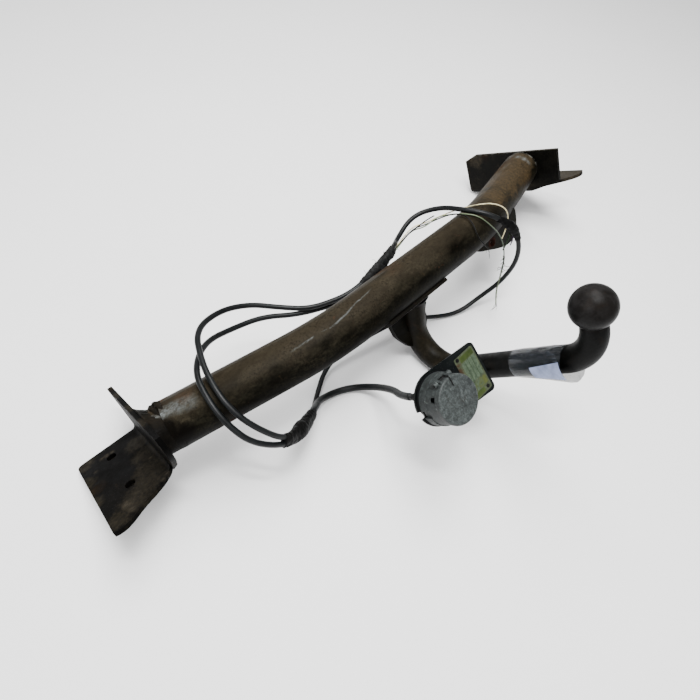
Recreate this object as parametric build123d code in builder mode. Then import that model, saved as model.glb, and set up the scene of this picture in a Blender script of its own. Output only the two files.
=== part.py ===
from build123d import *
import os
import math

os.makedirs("parts", exist_ok=True)

# ---------------------------------------------------------------------------
# Driving dimensions, millimetres.
# The towbar is laid out in its fitted position: the beam runs along Y, the
# coupling ball points towards +X, and u, y, w are right, along and up.
# The whole part is then tilted about Y into the pose in which it rests on the
# floor, on the rear edges of its two side brackets and the belly of its neck.
# ---------------------------------------------------------------------------
TUBE_R = 31.75            # crossbeam, 63.5 mm tube
TUBE_WALL = 4.0
BEAM_HALF = 394.0         # middle to the inner face of a side bracket
BEND_Y = 165.0            # where the beam bends
BEAM_BACK = 67.7          # how far the ends stand back
BEND_R = 400.0

PLATE = 6.0               # side bracket plate
BR_REAR = -190.0          # rear edge of a side bracket
BR_TOP = 30.0
BR_LOW = -49.0            # underside of the flange
BR_OUT = 486.0            # outer edge of the flange
FOLD_R = 6.0              # inside radius of the fold
HOLE_R = 6.5              # bolt holes, 13 mm
HOLES_U = (-160.0, -80.0)
HOLES_Y = 446.0

NECK_TOP = (-12.5, -30.0)
NECK_B = (-51.5, -197.6)
NECK_D = (254.3, -69.2)
BALL_C = (253.6, -3.9)
NECK_RB = 57.1            # centreline radius of the lower bend
NECK_RD = 54.8            # centreline radius below the ball
NECK_R0 = 18.6            # neck radius at the beam
NECK_R1 = 17.4            # neck radius before the ball bend
STEM_R = 14.5             # stem under the ball
BALL_R = 25.0             # 50 mm coupling ball

SADDLE_R = 37.2           # outside of the saddle plate
SADDLE_Y = (-83.0, 40.0)

SOCK_TILT = 20.0          # socket axis above the fitted horizontal, degrees
SOCK_Y = -126.0           # socket centre along the beam
SOCK_V = -121.0           # socket centre up the plate
PL_FRONT = 90.0           # front face of the mounting plate along the axis
PL_T = 3.0
FLANGE_R = 33.0
DRUM_R = 31.5             # drum at the flange
DRUM_R2 = 29.5            # and under the lid
SCREW_RING = 26.5
INSERT_R = 21.0           # contact insert and its bore
SCREW_ANG = (146.0, 26.0, 266.0)
PIN_D, PIN_V = 115.5, -92.0   # lid hinge
EAR_R = 3.8               # hinge ears and their room in the lid
EAR_GAP = 0.8
PIN_R = 1.5

# ---------------------------------------------------------------------------
# Resting tilt: same height for the flange's rear edge and the neck's belly
# ---------------------------------------------------------------------------


def unit(a):
    n = math.sqrt(sum(c * c for c in a))
    return tuple(c / n for c in a)


def fillet_centre(a, b, c, r):
    d1 = unit((b[0] - a[0], b[1] - a[1]))
    d2 = unit((c[0] - b[0], c[1] - b[1]))
    turn = math.acos(d1[0] * d2[0] + d1[1] * d2[1])
    t = r * math.tan(turn / 2)
    p1 = (b[0] - d1[0] * t, b[1] - d1[1] * t)
    p2 = (b[0] + d2[0] * t, b[1] + d2[1] * t)
    side = d1[0] * d2[1] - d1[1] * d2[0]
    n = (-d1[1], d1[0]) if side > 0 else (d1[1], -d1[0])
    ctr = (p1[0] + n[0] * r, p1[1] + n[1] * r)
    return ctr, p1, p2, turn, d1, d2


B_CTR, B_P1, B_P2, B_TURN, B_D1, B_D2 = fillet_centre(NECK_TOP, NECK_B, NECK_D, NECK_RB)
D_CTR, D_P1, D_P2, D_TURN, D_D1, D_D2 = fillet_centre(NECK_B, NECK_D, BALL_C, NECK_RD)


def gap_at(t):
    s, c = math.sin(t), math.cos(t)
    flange = BR_REAR * s + BR_LOW * c
    belly = B_CTR[0] * s + B_CTR[1] * c - (NECK_RB + NECK_R0)
    return belly - flange


lo, hi = math.radians(15), math.radians(50)
for _ in range(60):
    mid = (lo + hi) / 2
    if (gap_at(lo) > 0) == (gap_at(mid) > 0):
        lo = mid
    else:
        hi = mid
TILT = (lo + hi) / 2
ST, CT = math.sin(TILT), math.cos(TILT)
FLOOR = BR_REAR * ST + BR_LOW * CT
X_SHIFT = -44.224           # puts the origin under the middle of the part


def rp(u, y, w):
    """Fitted position to resting position."""
    return Vector(u * CT - w * ST + X_SHIFT, y, u * ST + w * CT - FLOOR)


def rd(u, y, w):
    return Vector(u * CT - w * ST, y, u * ST + w * CT)


def rplane(o, xd, zd):
    return Plane(origin=rp(*o), x_dir=rd(*xd), z_dir=rd(*zd))


print("tilt", round(math.degrees(TILT), 4), "floor", round(FLOOR, 4))


def across(y):
    """Section of the beam: local x is u, local y is w, normal is -Y."""
    return rplane((0, y, 0), (1, 0, 0), (0, -1, 0))


def across_back(y):
    """The same, turned round: local x is -u, normal is +Y."""
    return rplane((0, y, 0), (-1, 0, 0), (0, 1, 0))


def side_plane(u):
    """Local x is Y, local y is w, normal is u."""
    return rplane((u, 0, 0), (0, 1, 0), (1, 0, 0))


def flat(w):
    """Local x is u, local y is Y, normal is w."""
    return rplane((0, 0, w), (1, 0, 0), (0, 0, 1))


SN = (math.cos(math.radians(SOCK_TILT)), 0, math.sin(math.radians(SOCK_TILT)))
SV = (-SN[2], 0, SN[0])


def sp(y, v, d):
    """Socket coordinates to fitted position."""
    return (d * SN[0] + v * SV[0], y, d * SN[2] + v * SV[2])


def splane(d):
    """Local x is Y, local y is up the plate, normal is the socket's axis."""
    return rplane(sp(0, 0, d), (0, 1, 0), SN)


def hplane(y):
    """Across the lid hinge: local x is d, local y is v, normal is -Y."""
    return rplane((0, y, 0), SN, (0, -1, 0))


def neck_plane(p, d):
    """Section of the neck at p, normal d in the u, w plane."""
    return rplane((p[0], 0, p[1]), (0, 1, 0), (d[0], 0, d[1]))


def save(part, name):
    part.label = name
    export_step(part, "parts/" + name + ".step")
    print(name, len(part.solids()), round(part.volume, 1))


# ---------------------------------------------------------------------------
# crossbeam
# ---------------------------------------------------------------------------
END_D = unit((-BEAM_BACK, BEAM_HALF - BEND_Y))
OVER = 20.0
BEAM_PTS = (
    (-BEAM_BACK + END_D[0] * OVER, -BEAM_HALF - END_D[1] * OVER),
    (0, -BEND_Y),
    (0, BEND_Y),
    (-BEAM_BACK + END_D[0] * OVER, BEAM_HALF + END_D[1] * OVER),
)
BEAM_START = rplane((BEAM_PTS[0][0], BEAM_PTS[0][1], 0), (0, 0, 1), (-END_D[0], END_D[1], 0))

SWAGE_R = 29.0            # narrower left end, and how far it reaches
SWAGE_RUN = 21.0
CUT_RUN = 9.3             # middle of the square cut, short of the right bracket


def on_axis(side, run):
    """Point of the beam's axis, run short of a side bracket's inner face."""
    return (-BEAM_BACK - END_D[0] * run / END_D[1], side * (BEAM_HALF - run), 0)


with BuildPart() as crossbeam_tube:
    with BuildLine(flat(0)) as beam_path:
        FilletPolyline(*BEAM_PTS, radius=BEND_R)
    with BuildSketch(BEAM_START):
        Circle(TUBE_R)
        Circle(TUBE_R - TUBE_WALL, mode=Mode.SUBTRACT)
    sweep(path=beam_path.line)
    with BuildSketch(across(-BEAM_HALF)):
        Rectangle(400, 300)
    extrude(amount=60, mode=Mode.SUBTRACT)
    with BuildSketch(across_back(BEAM_HALF)):
        Rectangle(400, 300)
    extrude(amount=60, mode=Mode.SUBTRACT)
    # the left end is narrower over a short length
    with BuildSketch(rplane(on_axis(-1, SWAGE_RUN), (0, 0, 1), (-END_D[0] * -1, -END_D[1], 0))):
        Circle(60)
        Circle(SWAGE_R, mode=Mode.SUBTRACT)
    extrude(amount=60, mode=Mode.SUBTRACT)
    # the right end is cut square, so it meets the bracket at the front only
    with BuildSketch(rplane(on_axis(1, CUT_RUN), (0, 0, 1), (END_D[0], END_D[1], 0))):
        Circle(60)
    extrude(amount=60, mode=Mode.SUBTRACT)
save(crossbeam_tube.part, "crossbeam_tube")

# a solid rod on the same path trims what sits on the beam
with BuildPart() as beam_rod:
    with BuildLine(flat(0)) as rod_path:
        FilletPolyline(*BEAM_PTS, radius=BEND_R)
    with BuildSketch(BEAM_START):
        Circle(TUBE_R)
    sweep(path=rod_path.line)

# ---------------------------------------------------------------------------
# side brackets: one folded plate at each end
# ---------------------------------------------------------------------------


def fold_profile(s):
    yi, yo, r2 = BEAM_HALF, BEAM_HALF + PLATE, FOLD_R + PLATE
    q = math.sqrt(0.5)
    cy, cw = yi + r2, BR_LOW + r2
    Line((s * yi, BR_TOP), (s * yi, cw))
    ThreePointArc((s * yi, cw), (s * (cy - r2 * q), cw - r2 * q), (s * cy, BR_LOW))
    Line((s * cy, BR_LOW), (s * BR_OUT, BR_LOW))
    Line((s * BR_OUT, BR_LOW), (s * BR_OUT, BR_LOW + PLATE))
    Line((s * BR_OUT, BR_LOW + PLATE), (s * cy, BR_LOW + PLATE))
    ThreePointArc((s * cy, BR_LOW + PLATE), (s * (cy - FOLD_R * q), cw - FOLD_R * q), (s * yo, cw))
    Line((s * yo, cw), (s * yo, BR_TOP))
    Line((s * yo, BR_TOP), (s * yi, BR_TOP))


LEFT_CORNER = 8.0
LEFT_ARC = -8.0
REAR_CORNER = ((BR_REAR - 5, 17), (BR_REAR + 26, BR_TOP + 0.5), (BR_REAR + 26, 60), (BR_REAR - 5, 60))

with BuildPart() as left_side_bracket:
    with BuildSketch(side_plane(BR_REAR)):
        with BuildLine():
            fold_profile(-1)
        make_face()
    extrude(amount=230)
    # upright: rounded rear top corner and the cut front edge
    with BuildSketch(across(-BEAM_HALF + 1)):
        with BuildLine():
            Polyline((BR_REAR, BR_TOP - LEFT_CORNER), (BR_REAR - 5, BR_TOP - LEFT_CORNER), (BR_REAR - 5, BR_TOP + 5),
                     (BR_REAR + LEFT_CORNER, BR_TOP + 5), (BR_REAR + LEFT_CORNER, BR_TOP))
            RadiusArc((BR_REAR + LEFT_CORNER, BR_TOP), (BR_REAR, BR_TOP - LEFT_CORNER), LEFT_ARC)
        make_face()
    extrude(amount=20, mode=Mode.SUBTRACT)
    with BuildSketch(across(-BEAM_HALF + 1)):
        with BuildLine():
            Spline((-3, 31), (-4, 0), (-22, -20), (-42, -37), (-56, -50))
            Polyline((-56, -50), (-56, -70), (60, -70), (60, 40), (-3, 40), (-3, 31))
        make_face()
    extrude(amount=PLATE + 1.02, mode=Mode.SUBTRACT)
    # flange: wavy flame-cut front edge
    with BuildSketch(flat(-70)):
        with BuildLine():
            Spline((-56, -400.02), (-38, -425), (-28, -452), (-20, -469), (-22, -487))
            Polyline((-22, -487), (-22, -500), (60, -500), (60, -400.02), (-56, -400.02))
        make_face()
    extrude(amount=45, mode=Mode.SUBTRACT)
    # its rounded rear corner
    with BuildSketch(flat(-70)):
        with BuildLine():
            Polyline((BR_REAR, -BR_OUT + 7), (BR_REAR - 5, -BR_OUT + 7), (BR_REAR - 5, -BR_OUT - 5), (BR_REAR + 7, -BR_OUT - 5),
                     (BR_REAR + 7, -BR_OUT))
            RadiusArc((BR_REAR + 7, -BR_OUT), (BR_REAR, -BR_OUT + 7), 7)
        make_face()
    extrude(amount=45, mode=Mode.SUBTRACT)
    with BuildSketch(flat(-70)):
        with Locations(*[(u, -HOLES_Y) for u in HOLES_U]):
            Circle(HOLE_R)
    extrude(amount=45, mode=Mode.SUBTRACT)
save(left_side_bracket.part, "left_side_bracket")

with BuildPart() as right_side_bracket:
    with BuildSketch(side_plane(BR_REAR)):
        with BuildLine():
            fold_profile(1)
        make_face()
    extrude(amount=230)
    with BuildSketch(across(BEAM_HALF + 20)):
        with BuildLine():
            Polyline(*REAR_CORNER, close=True)
        make_face()
    extrude(amount=21, mode=Mode.SUBTRACT)
    with BuildSketch(across(BEAM_HALF + PLATE + 0.02)):
        with BuildLine():
            Polyline((6, 40), (6, -26), (-60, -49.5), (-64, -70), (60, -70), (60, 40), close=True)
        make_face()
    extrude(amount=PLATE + 1.02, mode=Mode.SUBTRACT)
    with BuildSketch(flat(-70)):
        with BuildLine():
            Spline((-60, 400.02), (-20, 440), (6, 477), (2, 487))
            Polyline((2, 487), (2, 500), (60, 500), (60, 400.02), (-60, 400.02))
        make_face()
    extrude(amount=45, mode=Mode.SUBTRACT)
    with BuildSketch(flat(-70)):
        with Locations(*[(u, HOLES_Y) for u in HOLES_U]):
            Circle(HOLE_R)
    extrude(amount=45, mode=Mode.SUBTRACT)
save(right_side_bracket.part, "right_side_bracket")

# fillet weld round the beam's left end, thicker on top and behind
SLOPE = BEAM_BACK / (BEAM_HALF - BEND_Y)
WELD = 5.5                # mean leg on the plate
WELD_RUN = 11.0           # and along the tube
WELD_UP = (-1.5, 2.5)     # shift of its outer edge

with BuildPart() as left_end_weld:
    with BuildSketch(rplane((-BEAM_BACK + WELD_UP[0], -BEAM_HALF, WELD_UP[1]), (1, 0, 0), (0, -1, 0))):
        Ellipse(SWAGE_R / END_D[1] + WELD, SWAGE_R + WELD)
    with BuildSketch(rplane((-BEAM_BACK + WELD_RUN * SLOPE, -BEAM_HALF + WELD_RUN, 0), (1, 0, 0), (0, -1, 0))):
        Ellipse(SWAGE_R / END_D[1] + 0.8, SWAGE_R + 0.8)
    loft(ruled=True)
    # it runs out flush with the tube below and in front
    with BuildSketch(rplane(on_axis(-1, SWAGE_RUN - 0.3), (0, 0, 1), (END_D[0], -END_D[1], 0))):
        with Locations((-1.3, -1.1)):
            Circle(SWAGE_R + 1.0)
        Circle(SWAGE_R - 0.5, mode=Mode.SUBTRACT)
    extrude(amount=45)
    with BuildSketch(across(-BEAM_HALF)):
        Rectangle(400, 300)
    extrude(amount=60, mode=Mode.SUBTRACT)
    with BuildSketch(BEAM_START):
        Circle(SWAGE_R)
    extrude(amount=60, mode=Mode.SUBTRACT)
save(left_end_weld.part, "left_end_weld")

# the right weld bridges the wedge between the square cut and the plate
FILL_IN = 26.0            # open middle of the fill

with BuildPart() as right_end_weld:
    with BuildSketch(rplane((-BEAM_BACK, BEAM_HALF, 0), (1, 0, 0), (0, -1, 0))):
        Ellipse(TUBE_R / END_D[1] + 1.0, TUBE_R - 2.0)
    with BuildSketch(rplane(on_axis(1, CUT_RUN + 2.0), (-END_D[1], END_D[0], 0), (-END_D[0], -END_D[1], 0))):
        Circle(TUBE_R + 1.2)
    loft(ruled=True)
    with BuildSketch(rplane(on_axis(1, CUT_RUN), (0, 0, 1), (-END_D[0], -END_D[1], 0))):
        Circle(TUBE_R)
    extrude(amount=60, mode=Mode.SUBTRACT)
    with BuildSketch(rplane(on_axis(1, -20), (0, 0, 1), (-END_D[0], -END_D[1], 0))):
        Circle(FILL_IN)
    extrude(amount=80, mode=Mode.SUBTRACT)
save(right_end_weld.part, "right_end_weld")

# ---------------------------------------------------------------------------
# saddle under the middle of the beam
# ---------------------------------------------------------------------------
with BuildPart() as saddle_plate:
    with BuildSketch(across(SADDLE_Y[1])):
        Circle(SADDLE_R)
        Circle(TUBE_R, mode=Mode.SUBTRACT)
        with BuildLine():
            a0, a1 = math.radians(-47), math.radians(-152)
            Polyline((0, 0), (60 * math.cos(a0), 60 * math.sin(a0)), (60, -90), (-90, -90),
                     (60 * math.cos(a1), 60 * math.sin(a1)), close=True)
        make_face(mode=Mode.INTERSECT)
    extrude(amount=SADDLE_Y[1] - SADDLE_Y[0])
save(saddle_plate.part, "saddle_plate")

# ---------------------------------------------------------------------------
# swan neck and coupling ball, one forging
# ---------------------------------------------------------------------------
TOP_LEN = math.dist(NECK_TOP, B_P1)
BEND_STEPS = 6
STEM_TOP = (BALL_C[0], BALL_C[1] - 16)

with BuildPart() as swan_neck:
    with BuildSketch(neck_plane(NECK_TOP, B_D1)):
        Circle(NECK_R0)
    extrude(amount=TOP_LEN)
    with BuildSketch(neck_plane(B_P1, B_D1)):
        Circle(NECK_R0)
    revolve(axis=Axis(tuple(rp(B_CTR[0], 0, B_CTR[1])), (0, -1, 0)), revolution_arc=math.degrees(B_TURN))
    with BuildSketch(neck_plane(B_P2, B_D2)):
        Circle(NECK_R0)
    with BuildSketch(neck_plane(D_P1, D_D1)):
        Circle(NECK_R1)
    loft()
    for i in range(BEND_STEPS + 1):
        a = D_TURN * i / BEND_STEPS
        base = math.atan2(D_P1[1] - D_CTR[1], D_P1[0] - D_CTR[0]) + a
        p = (D_CTR[0] + NECK_RD * math.cos(base), D_CTR[1] + NECK_RD * math.sin(base))
        dr = (-math.sin(base), math.cos(base))
        with BuildSketch(neck_plane(p, dr)):
            Circle(NECK_R1 + (STEM_R + 0.6 - NECK_R1) * i / BEND_STEPS)
    loft()
    with BuildSketch(neck_plane(D_P2, D_D2)):
        Circle(STEM_R + 0.6)
    with BuildSketch(neck_plane(STEM_TOP, (0, 1))):
        Circle(STEM_R)
    loft()
    with Locations(rp(BALL_C[0], 0, BALL_C[1])):
        Sphere(BALL_R)
    # small machined flat on top of the ball
    with BuildSketch(neck_plane((BALL_C[0], BALL_C[1] + 24.3), (0, 1))):
        Circle(12)
    extrude(amount=5, mode=Mode.SUBTRACT)
    # top shaped to the saddle
    with BuildSketch(across(60)):
        Circle(SADDLE_R)
    extrude(amount=120, mode=Mode.SUBTRACT)
save(swan_neck.part, "swan_neck")

# gusset plates on both sides of the neck, flame cut
with BuildPart() as neck_gussets:
    with BuildSketch(side_plane(-33)):
        with BuildLine():
            Polyline((-53, -20), (-47, -67), (-43, -88), (-36, -101), (-25, -117), (-8, -127), (-8, -20),
                     close=True)
        make_face()
        with BuildLine():
            Polyline((37, -20), (33, -70), (26, -82), (27, -95), (20, -108), (8, -118), (8, -20), close=True)
        make_face()
    extrude(amount=10)
    with BuildSketch(across(70)):
        Circle(SADDLE_R)
    extrude(amount=140, mode=Mode.SUBTRACT)
    add(swan_neck.part, mode=Mode.SUBTRACT)
save(neck_gussets.part, "neck_gussets")

# weld bead where the neck meets the saddle
with BuildPart() as neck_weld:
    with BuildSketch(neck_plane((NECK_TOP[0] + B_D1[0] * 8, NECK_TOP[1] + B_D1[1] * 8), B_D1)):
        Circle(NECK_R0 + 6)
    extrude(amount=9, taper=30)
    with BuildSketch(across(70)):
        Circle(SADDLE_R)
    extrude(amount=140, mode=Mode.SUBTRACT)
    add(swan_neck.part, mode=Mode.SUBTRACT)
    add(neck_gussets.part, mode=Mode.SUBTRACT)
save(neck_weld.part, "neck_weld")

# half-round lug under the beam
LUG_EDGE = ((126, -14), (140, -36), (159, -43.6), (181, -52.3), (203, -59.3), (220, -61.8), (236, -58), (246, -44), (248, -12))
with BuildPart() as under_beam_lug:
    with BuildSketch(side_plane(0)):
        with BuildLine():
            Spline(*LUG_EDGE)
            Line(LUG_EDGE[-1], LUG_EDGE[0])
        make_face()
        with Locations((177, -39)):
            Circle(6, mode=Mode.SUBTRACT)
    extrude(amount=8)
    add(beam_rod.part, mode=Mode.SUBTRACT)
save(under_beam_lug.part, "under_beam_lug")

# ---------------------------------------------------------------------------
# socket: mounting plate, arm, rating plate
# ---------------------------------------------------------------------------
SCREWS = [
    (SOCK_Y + SCREW_RING * math.cos(math.radians(a)), SOCK_V + SCREW_RING * math.sin(math.radians(a)))
    for a in SCREW_ANG
]
RIVETS = [(-75.5, -100.6), (-51.2, -156.6)]

with BuildPart() as socket_mounting_plate:
    with BuildSketch(splane(PL_FRONT - PL_T)):
        with Locations((-127.2, -119.2)):
            Circle(34.5)
        with Locations((-46.5, -100.0), (-46.5, -160.5)):
            Circle(6.5)
        make_hull()
        with Locations((SOCK_Y, SOCK_V)):
            Circle(22.5, mode=Mode.SUBTRACT)
        with Locations(*SCREWS):
            Circle(2.75, mode=Mode.SUBTRACT)
        with Locations(*RIVETS):
            Circle(1.6, mode=Mode.SUBTRACT)
        with Locations((-160, -121)):
            Rectangle(9, 11, mode=Mode.SUBTRACT)
    extrude(amount=PL_T)
save(socket_mounting_plate.part, "socket_mounting_plate")

with BuildPart() as socket_arm:
    with BuildSketch(rplane(sp(0, -158, 0), (0, 1, 0), (-SV[0], 0, -SV[2]))):
        with BuildLine():
            Polyline((-12, 28), (-12, 58), (-42, 74), (-58, 87), (-94, 87), (-94, 81), (-64, 66), (-30, 28),
                     close=True)
        make_face()
    extrude(amount=-6)
    add(swan_neck.part, mode=Mode.SUBTRACT)
save(socket_arm.part, "socket_arm")

with BuildPart() as rating_plate:
    with BuildSketch(splane(PL_FRONT)):
        with Locations((-62.5, -129.4)):
            RectangleRounded(36, 63.6, 2.5)
        with Locations(*RIVETS):
            Circle(1.6, mode=Mode.SUBTRACT)
    extrude(amount=0.8)
save(rating_plate.part, "rating_plate")

with BuildPart() as rating_plate_rivets:
    with BuildSketch(splane(PL_FRONT - PL_T - 0.8)):
        with Locations(*RIVETS):
            Circle(1.6)
    extrude(amount=PL_T + 1.6)
    with BuildSketch(splane(PL_FRONT + 0.8)):
        with Locations(*RIVETS):
            Circle(2.7)
    extrude(amount=1.1, taper=25)
    with BuildSketch(splane(PL_FRONT - PL_T - 0.8)):
        with Locations(*RIVETS):
            Circle(2.3)
    extrude(amount=0.8)
save(rating_plate_rivets.part, "rating_plate_rivets")

# ---------------------------------------------------------------------------
# socket body
# ---------------------------------------------------------------------------
with BuildPart() as socket_gasket:
    with BuildSketch(splane(PL_FRONT)):
        with Locations((-126.8, -120.0)):
            Circle(33.6)
        with Locations((SOCK_Y, SOCK_V)):
            Circle(22.1, mode=Mode.SUBTRACT)
        with Locations(*SCREWS):
            Circle(2.75, mode=Mode.SUBTRACT)
        with Locations((-160, -121)):
            Rectangle(12, 11, mode=Mode.SUBTRACT)
    extrude(amount=2)
save(socket_gasket.part, "socket_gasket")

EARS = ((-112.5, 5.0), (-136.5, 5.0))     # outer faces at +Y, width

with BuildPart() as socket_housing:
    with BuildSketch(splane(92)):
        with Locations((SOCK_Y, SOCK_V)):
            Circle(FLANGE_R)
    extrude(amount=11, taper=4)
    with BuildSketch(splane(103)):
        with Locations((SOCK_Y, SOCK_V)):
            Circle(DRUM_R)
    with BuildSketch(splane(117)):
        with Locations((SOCK_Y, SOCK_V)):
            Circle(DRUM_R2)
    loft()
    # hinge ears
    for y0, wd in EARS:
        with BuildSketch(hplane(y0)):
            with Locations((PIN_D, PIN_V)):
                Circle(EAR_R)
            with Locations((105.5, -99.5)):
                Rectangle(5, 10)
            make_hull()
        extrude(amount=wd)
    # bores for the insert and the wires
    with BuildSketch(splane(92)):
        with Locations((SOCK_Y, SOCK_V)):
            Circle(INSERT_R)
    extrude(amount=30, mode=Mode.SUBTRACT)
    # screw pockets and holes
    with BuildSketch(splane(110.5)):
        with Locations(*SCREWS):
            Circle(4.6)
    extrude(amount=10, mode=Mode.SUBTRACT)
    with BuildSketch(splane(98)):
        with Locations(*SCREWS):
            Circle(3.7)
    extrude(amount=14, mode=Mode.SUBTRACT)
    with BuildSketch(splane(80)):
        with Locations(*SCREWS):
            Circle(2.75)
    extrude(amount=30, mode=Mode.SUBTRACT)
    # room for the lid's knuckles between the ears
    with BuildSketch(hplane(EARS[0][0] - EARS[0][1])):
        with Locations((113.5, -88.5)):
            Rectangle(9, 17)
    extrude(amount=EARS[0][0] - EARS[0][1] - EARS[1][0], mode=Mode.SUBTRACT)
    # drain notch
    with BuildSketch(splane(91)):
        with Locations((-160, -121)):
            Rectangle(10, 10)
    extrude(amount=14, mode=Mode.SUBTRACT)
    # hinge pin bore
    with BuildSketch(hplane(-100)):
        with Locations((PIN_D, PIN_V)):
            Circle(PIN_R)
    extrude(amount=50, mode=Mode.SUBTRACT)
save(socket_housing.part, "socket_housing")

with BuildPart() as rear_collar:
    with BuildSketch(splane(76)):
        with Locations((SOCK_Y, SOCK_V)):
            Circle(22)
            Circle(19, mode=Mode.SUBTRACT)
    extrude(amount=16)
save(rear_collar.part, "rear_collar")

CONTACTS = [(SOCK_Y, SOCK_V)] + [
    (SOCK_Y + 13.5 * math.cos(math.radians(60 * k + 30)), SOCK_V + 13.5 * math.sin(math.radians(60 * k + 30)))
    for k in range(6)
]
with BuildPart() as contact_insert:
    with BuildSketch(splane(92)):
        with Locations((SOCK_Y, SOCK_V)):
            Circle(INSERT_R)
        with Locations(*CONTACTS):
            Circle(2.4, mode=Mode.SUBTRACT)
    extrude(amount=9)
    with BuildSketch(splane(101)):
        with Locations((SOCK_Y, SOCK_V)):
            Circle(19.6)
            Circle(18.0, mode=Mode.SUBTRACT)
    extrude(amount=4)
save(contact_insert.part, "contact_insert")

with BuildPart() as contact_pins:
    with BuildSketch(splane(82)):
        with Locations(*CONTACTS):
            Circle(2.4)
    extrude(amount=23)
    with BuildSketch(splane(104)):
        with Locations(*CONTACTS):
            Rectangle(0.9, 5.4)
    extrude(amount=2, mode=Mode.SUBTRACT)
save(contact_pins.part, "contact_pins")

with BuildPart() as socket_screws:
    with BuildSketch(splane(98)):
        with Locations(*SCREWS):
            Circle(3.4)
    extrude(amount=3.4, taper=12)
    with BuildSketch(splane(81)):
        with Locations(*SCREWS):
            Circle(2.5)
    extrude(amount=17)
    with BuildSketch(splane(100)):
        with Locations(*SCREWS):
            Rectangle(5.2, 1.1)
    extrude(amount=2, mode=Mode.SUBTRACT)
save(socket_screws.part, "socket_screws")

with BuildPart() as socket_nuts:
    with BuildSketch(splane(83)):
        with Locations(*SCREWS):
            RegularPolygon(4.6, 6)
            Circle(2.5, mode=Mode.SUBTRACT)
    extrude(amount=4)
save(socket_nuts.part, "socket_nuts")

with BuildPart() as rear_boot:
    with BuildSketch(splane(66)):
        with Locations((SOCK_Y, SOCK_V)):
            Circle(17)
    with BuildSketch(splane(75)):
        with Locations((SOCK_Y, SOCK_V)):
            Circle(24)
    loft()
    with BuildSketch(splane(75)):
        with Locations((SOCK_Y, SOCK_V)):
            Circle(24)
    extrude(amount=7.5)
    with BuildSketch(splane(76)):
        with Locations((SOCK_Y, SOCK_V)):
            Circle(22)
    extrude(amount=20, mode=Mode.SUBTRACT)
    with BuildSketch(splane(69)):
        with Locations((SOCK_Y, SOCK_V)):
            Circle(14.5)
    extrude(amount=8, mode=Mode.SUBTRACT)
save(rear_boot.part, "rear_boot")

with BuildPart() as cable_gland:
    with BuildSketch(splane(66)):
        with Locations((SOCK_Y, SOCK_V)):
            Circle(9.5)
    extrude(amount=-4)
    with BuildSketch(splane(62)):
        with Locations((SOCK_Y, SOCK_V)):
            Circle(8)
    with BuildSketch(splane(40)):
        with Locations((SOCK_Y, SOCK_V)):
            Circle(5)
    loft()
save(cable_gland.part, "cable_gland")

# ---------------------------------------------------------------------------
# lid with its hinge pin, spring and seal
# ---------------------------------------------------------------------------
KNUCKLES = ((-118.0, 3.6), (-132.4, 3.6))

with BuildPart() as socket_lid:
    with BuildSketch(splane(117.6)):
        with Locations((SOCK_Y, SOCK_V)):
            Circle(30.5)
    extrude(amount=8.0)
    top_edges = socket_lid.edges().filter_by(GeomType.CIRCLE).sort_by(Axis(tuple(rp(0, 0, 0)), tuple(rd(*SN))))[-1:]
    fillet(top_edges, radius=2.6)
    for y0, wd in KNUCKLES:
        with BuildSketch(hplane(y0)):
            with Locations((PIN_D, PIN_V)):
                Circle(3.5)
            with Locations((120.5, -93.0)):
                Rectangle(5, 6)
            make_hull()
        extrude(amount=wd)
    with BuildSketch(splane(117)):
        with Locations((SOCK_Y, SOCK_V)):
            Circle(28.6)
            Circle(25.0, mode=Mode.SUBTRACT)
    extrude(amount=2.2, mode=Mode.SUBTRACT)
    with BuildSketch(splane(117)):
        with Locations((SOCK_Y, SOCK_V)):
            Circle(23.6)
    extrude(amount=3.6, mode=Mode.SUBTRACT)
    with BuildSketch(hplane(-100)):
        with Locations((PIN_D, PIN_V)):
            Circle(PIN_R + 0.05)
    extrude(amount=50, mode=Mode.SUBTRACT)
    # room for the ears
    for y0, wd in EARS:
        with BuildSketch(hplane(y0 + 0.5)):
            with Locations((PIN_D, PIN_V)):
                Circle(EAR_R + EAR_GAP)
        extrude(amount=wd + 1, mode=Mode.SUBTRACT)
    # room for the spring's coil
    with BuildSketch(hplane(-121.6)):
        with Locations((PIN_D, PIN_V)):
            Circle(4.0)
    extrude(amount=10.8, mode=Mode.SUBTRACT)
save(socket_lid.part, "socket_lid")

with BuildPart() as lid_seal:
    with BuildSketch(splane(117.3)):
        with Locations((SOCK_Y, SOCK_V)):
            Circle(28.6)
            Circle(25.0, mode=Mode.SUBTRACT)
    extrude(amount=1.9)
    for y0, wd in EARS:
        with BuildSketch(hplane(y0 + 0.5)):
            with Locations((PIN_D, PIN_V)):
                Circle(EAR_R + EAR_GAP)
        extrude(amount=wd + 1, mode=Mode.SUBTRACT)
    # room for the spring's coil
    with BuildSketch(hplane(-121.6)):
        with Locations((PIN_D, PIN_V)):
            Circle(4.0)
    extrude(amount=10.8, mode=Mode.SUBTRACT)
save(lid_seal.part, "lid_seal")

with BuildPart() as lid_hinge_pin:
    with BuildSketch(hplane(-111.0)):
        with Locations((PIN_D, PIN_V)):
            Circle(PIN_R)
    extrude(amount=32.0)
    with BuildSketch(hplane(-111.0)):
        with Locations((PIN_D, PIN_V)):
            Circle(PIN_R + 1.0)
    extrude(amount=1.4)
save(lid_hinge_pin.part, "lid_hinge_pin")

# coil of the lid spring round the pin, its turns as ridges, and its two legs
COIL_N, WIRE = 6, 1.2
COIL_Y0 = -123.4
COIL_R = 2.6
LEG_D = 126.8             # the spring's leg just above the lid

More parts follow.
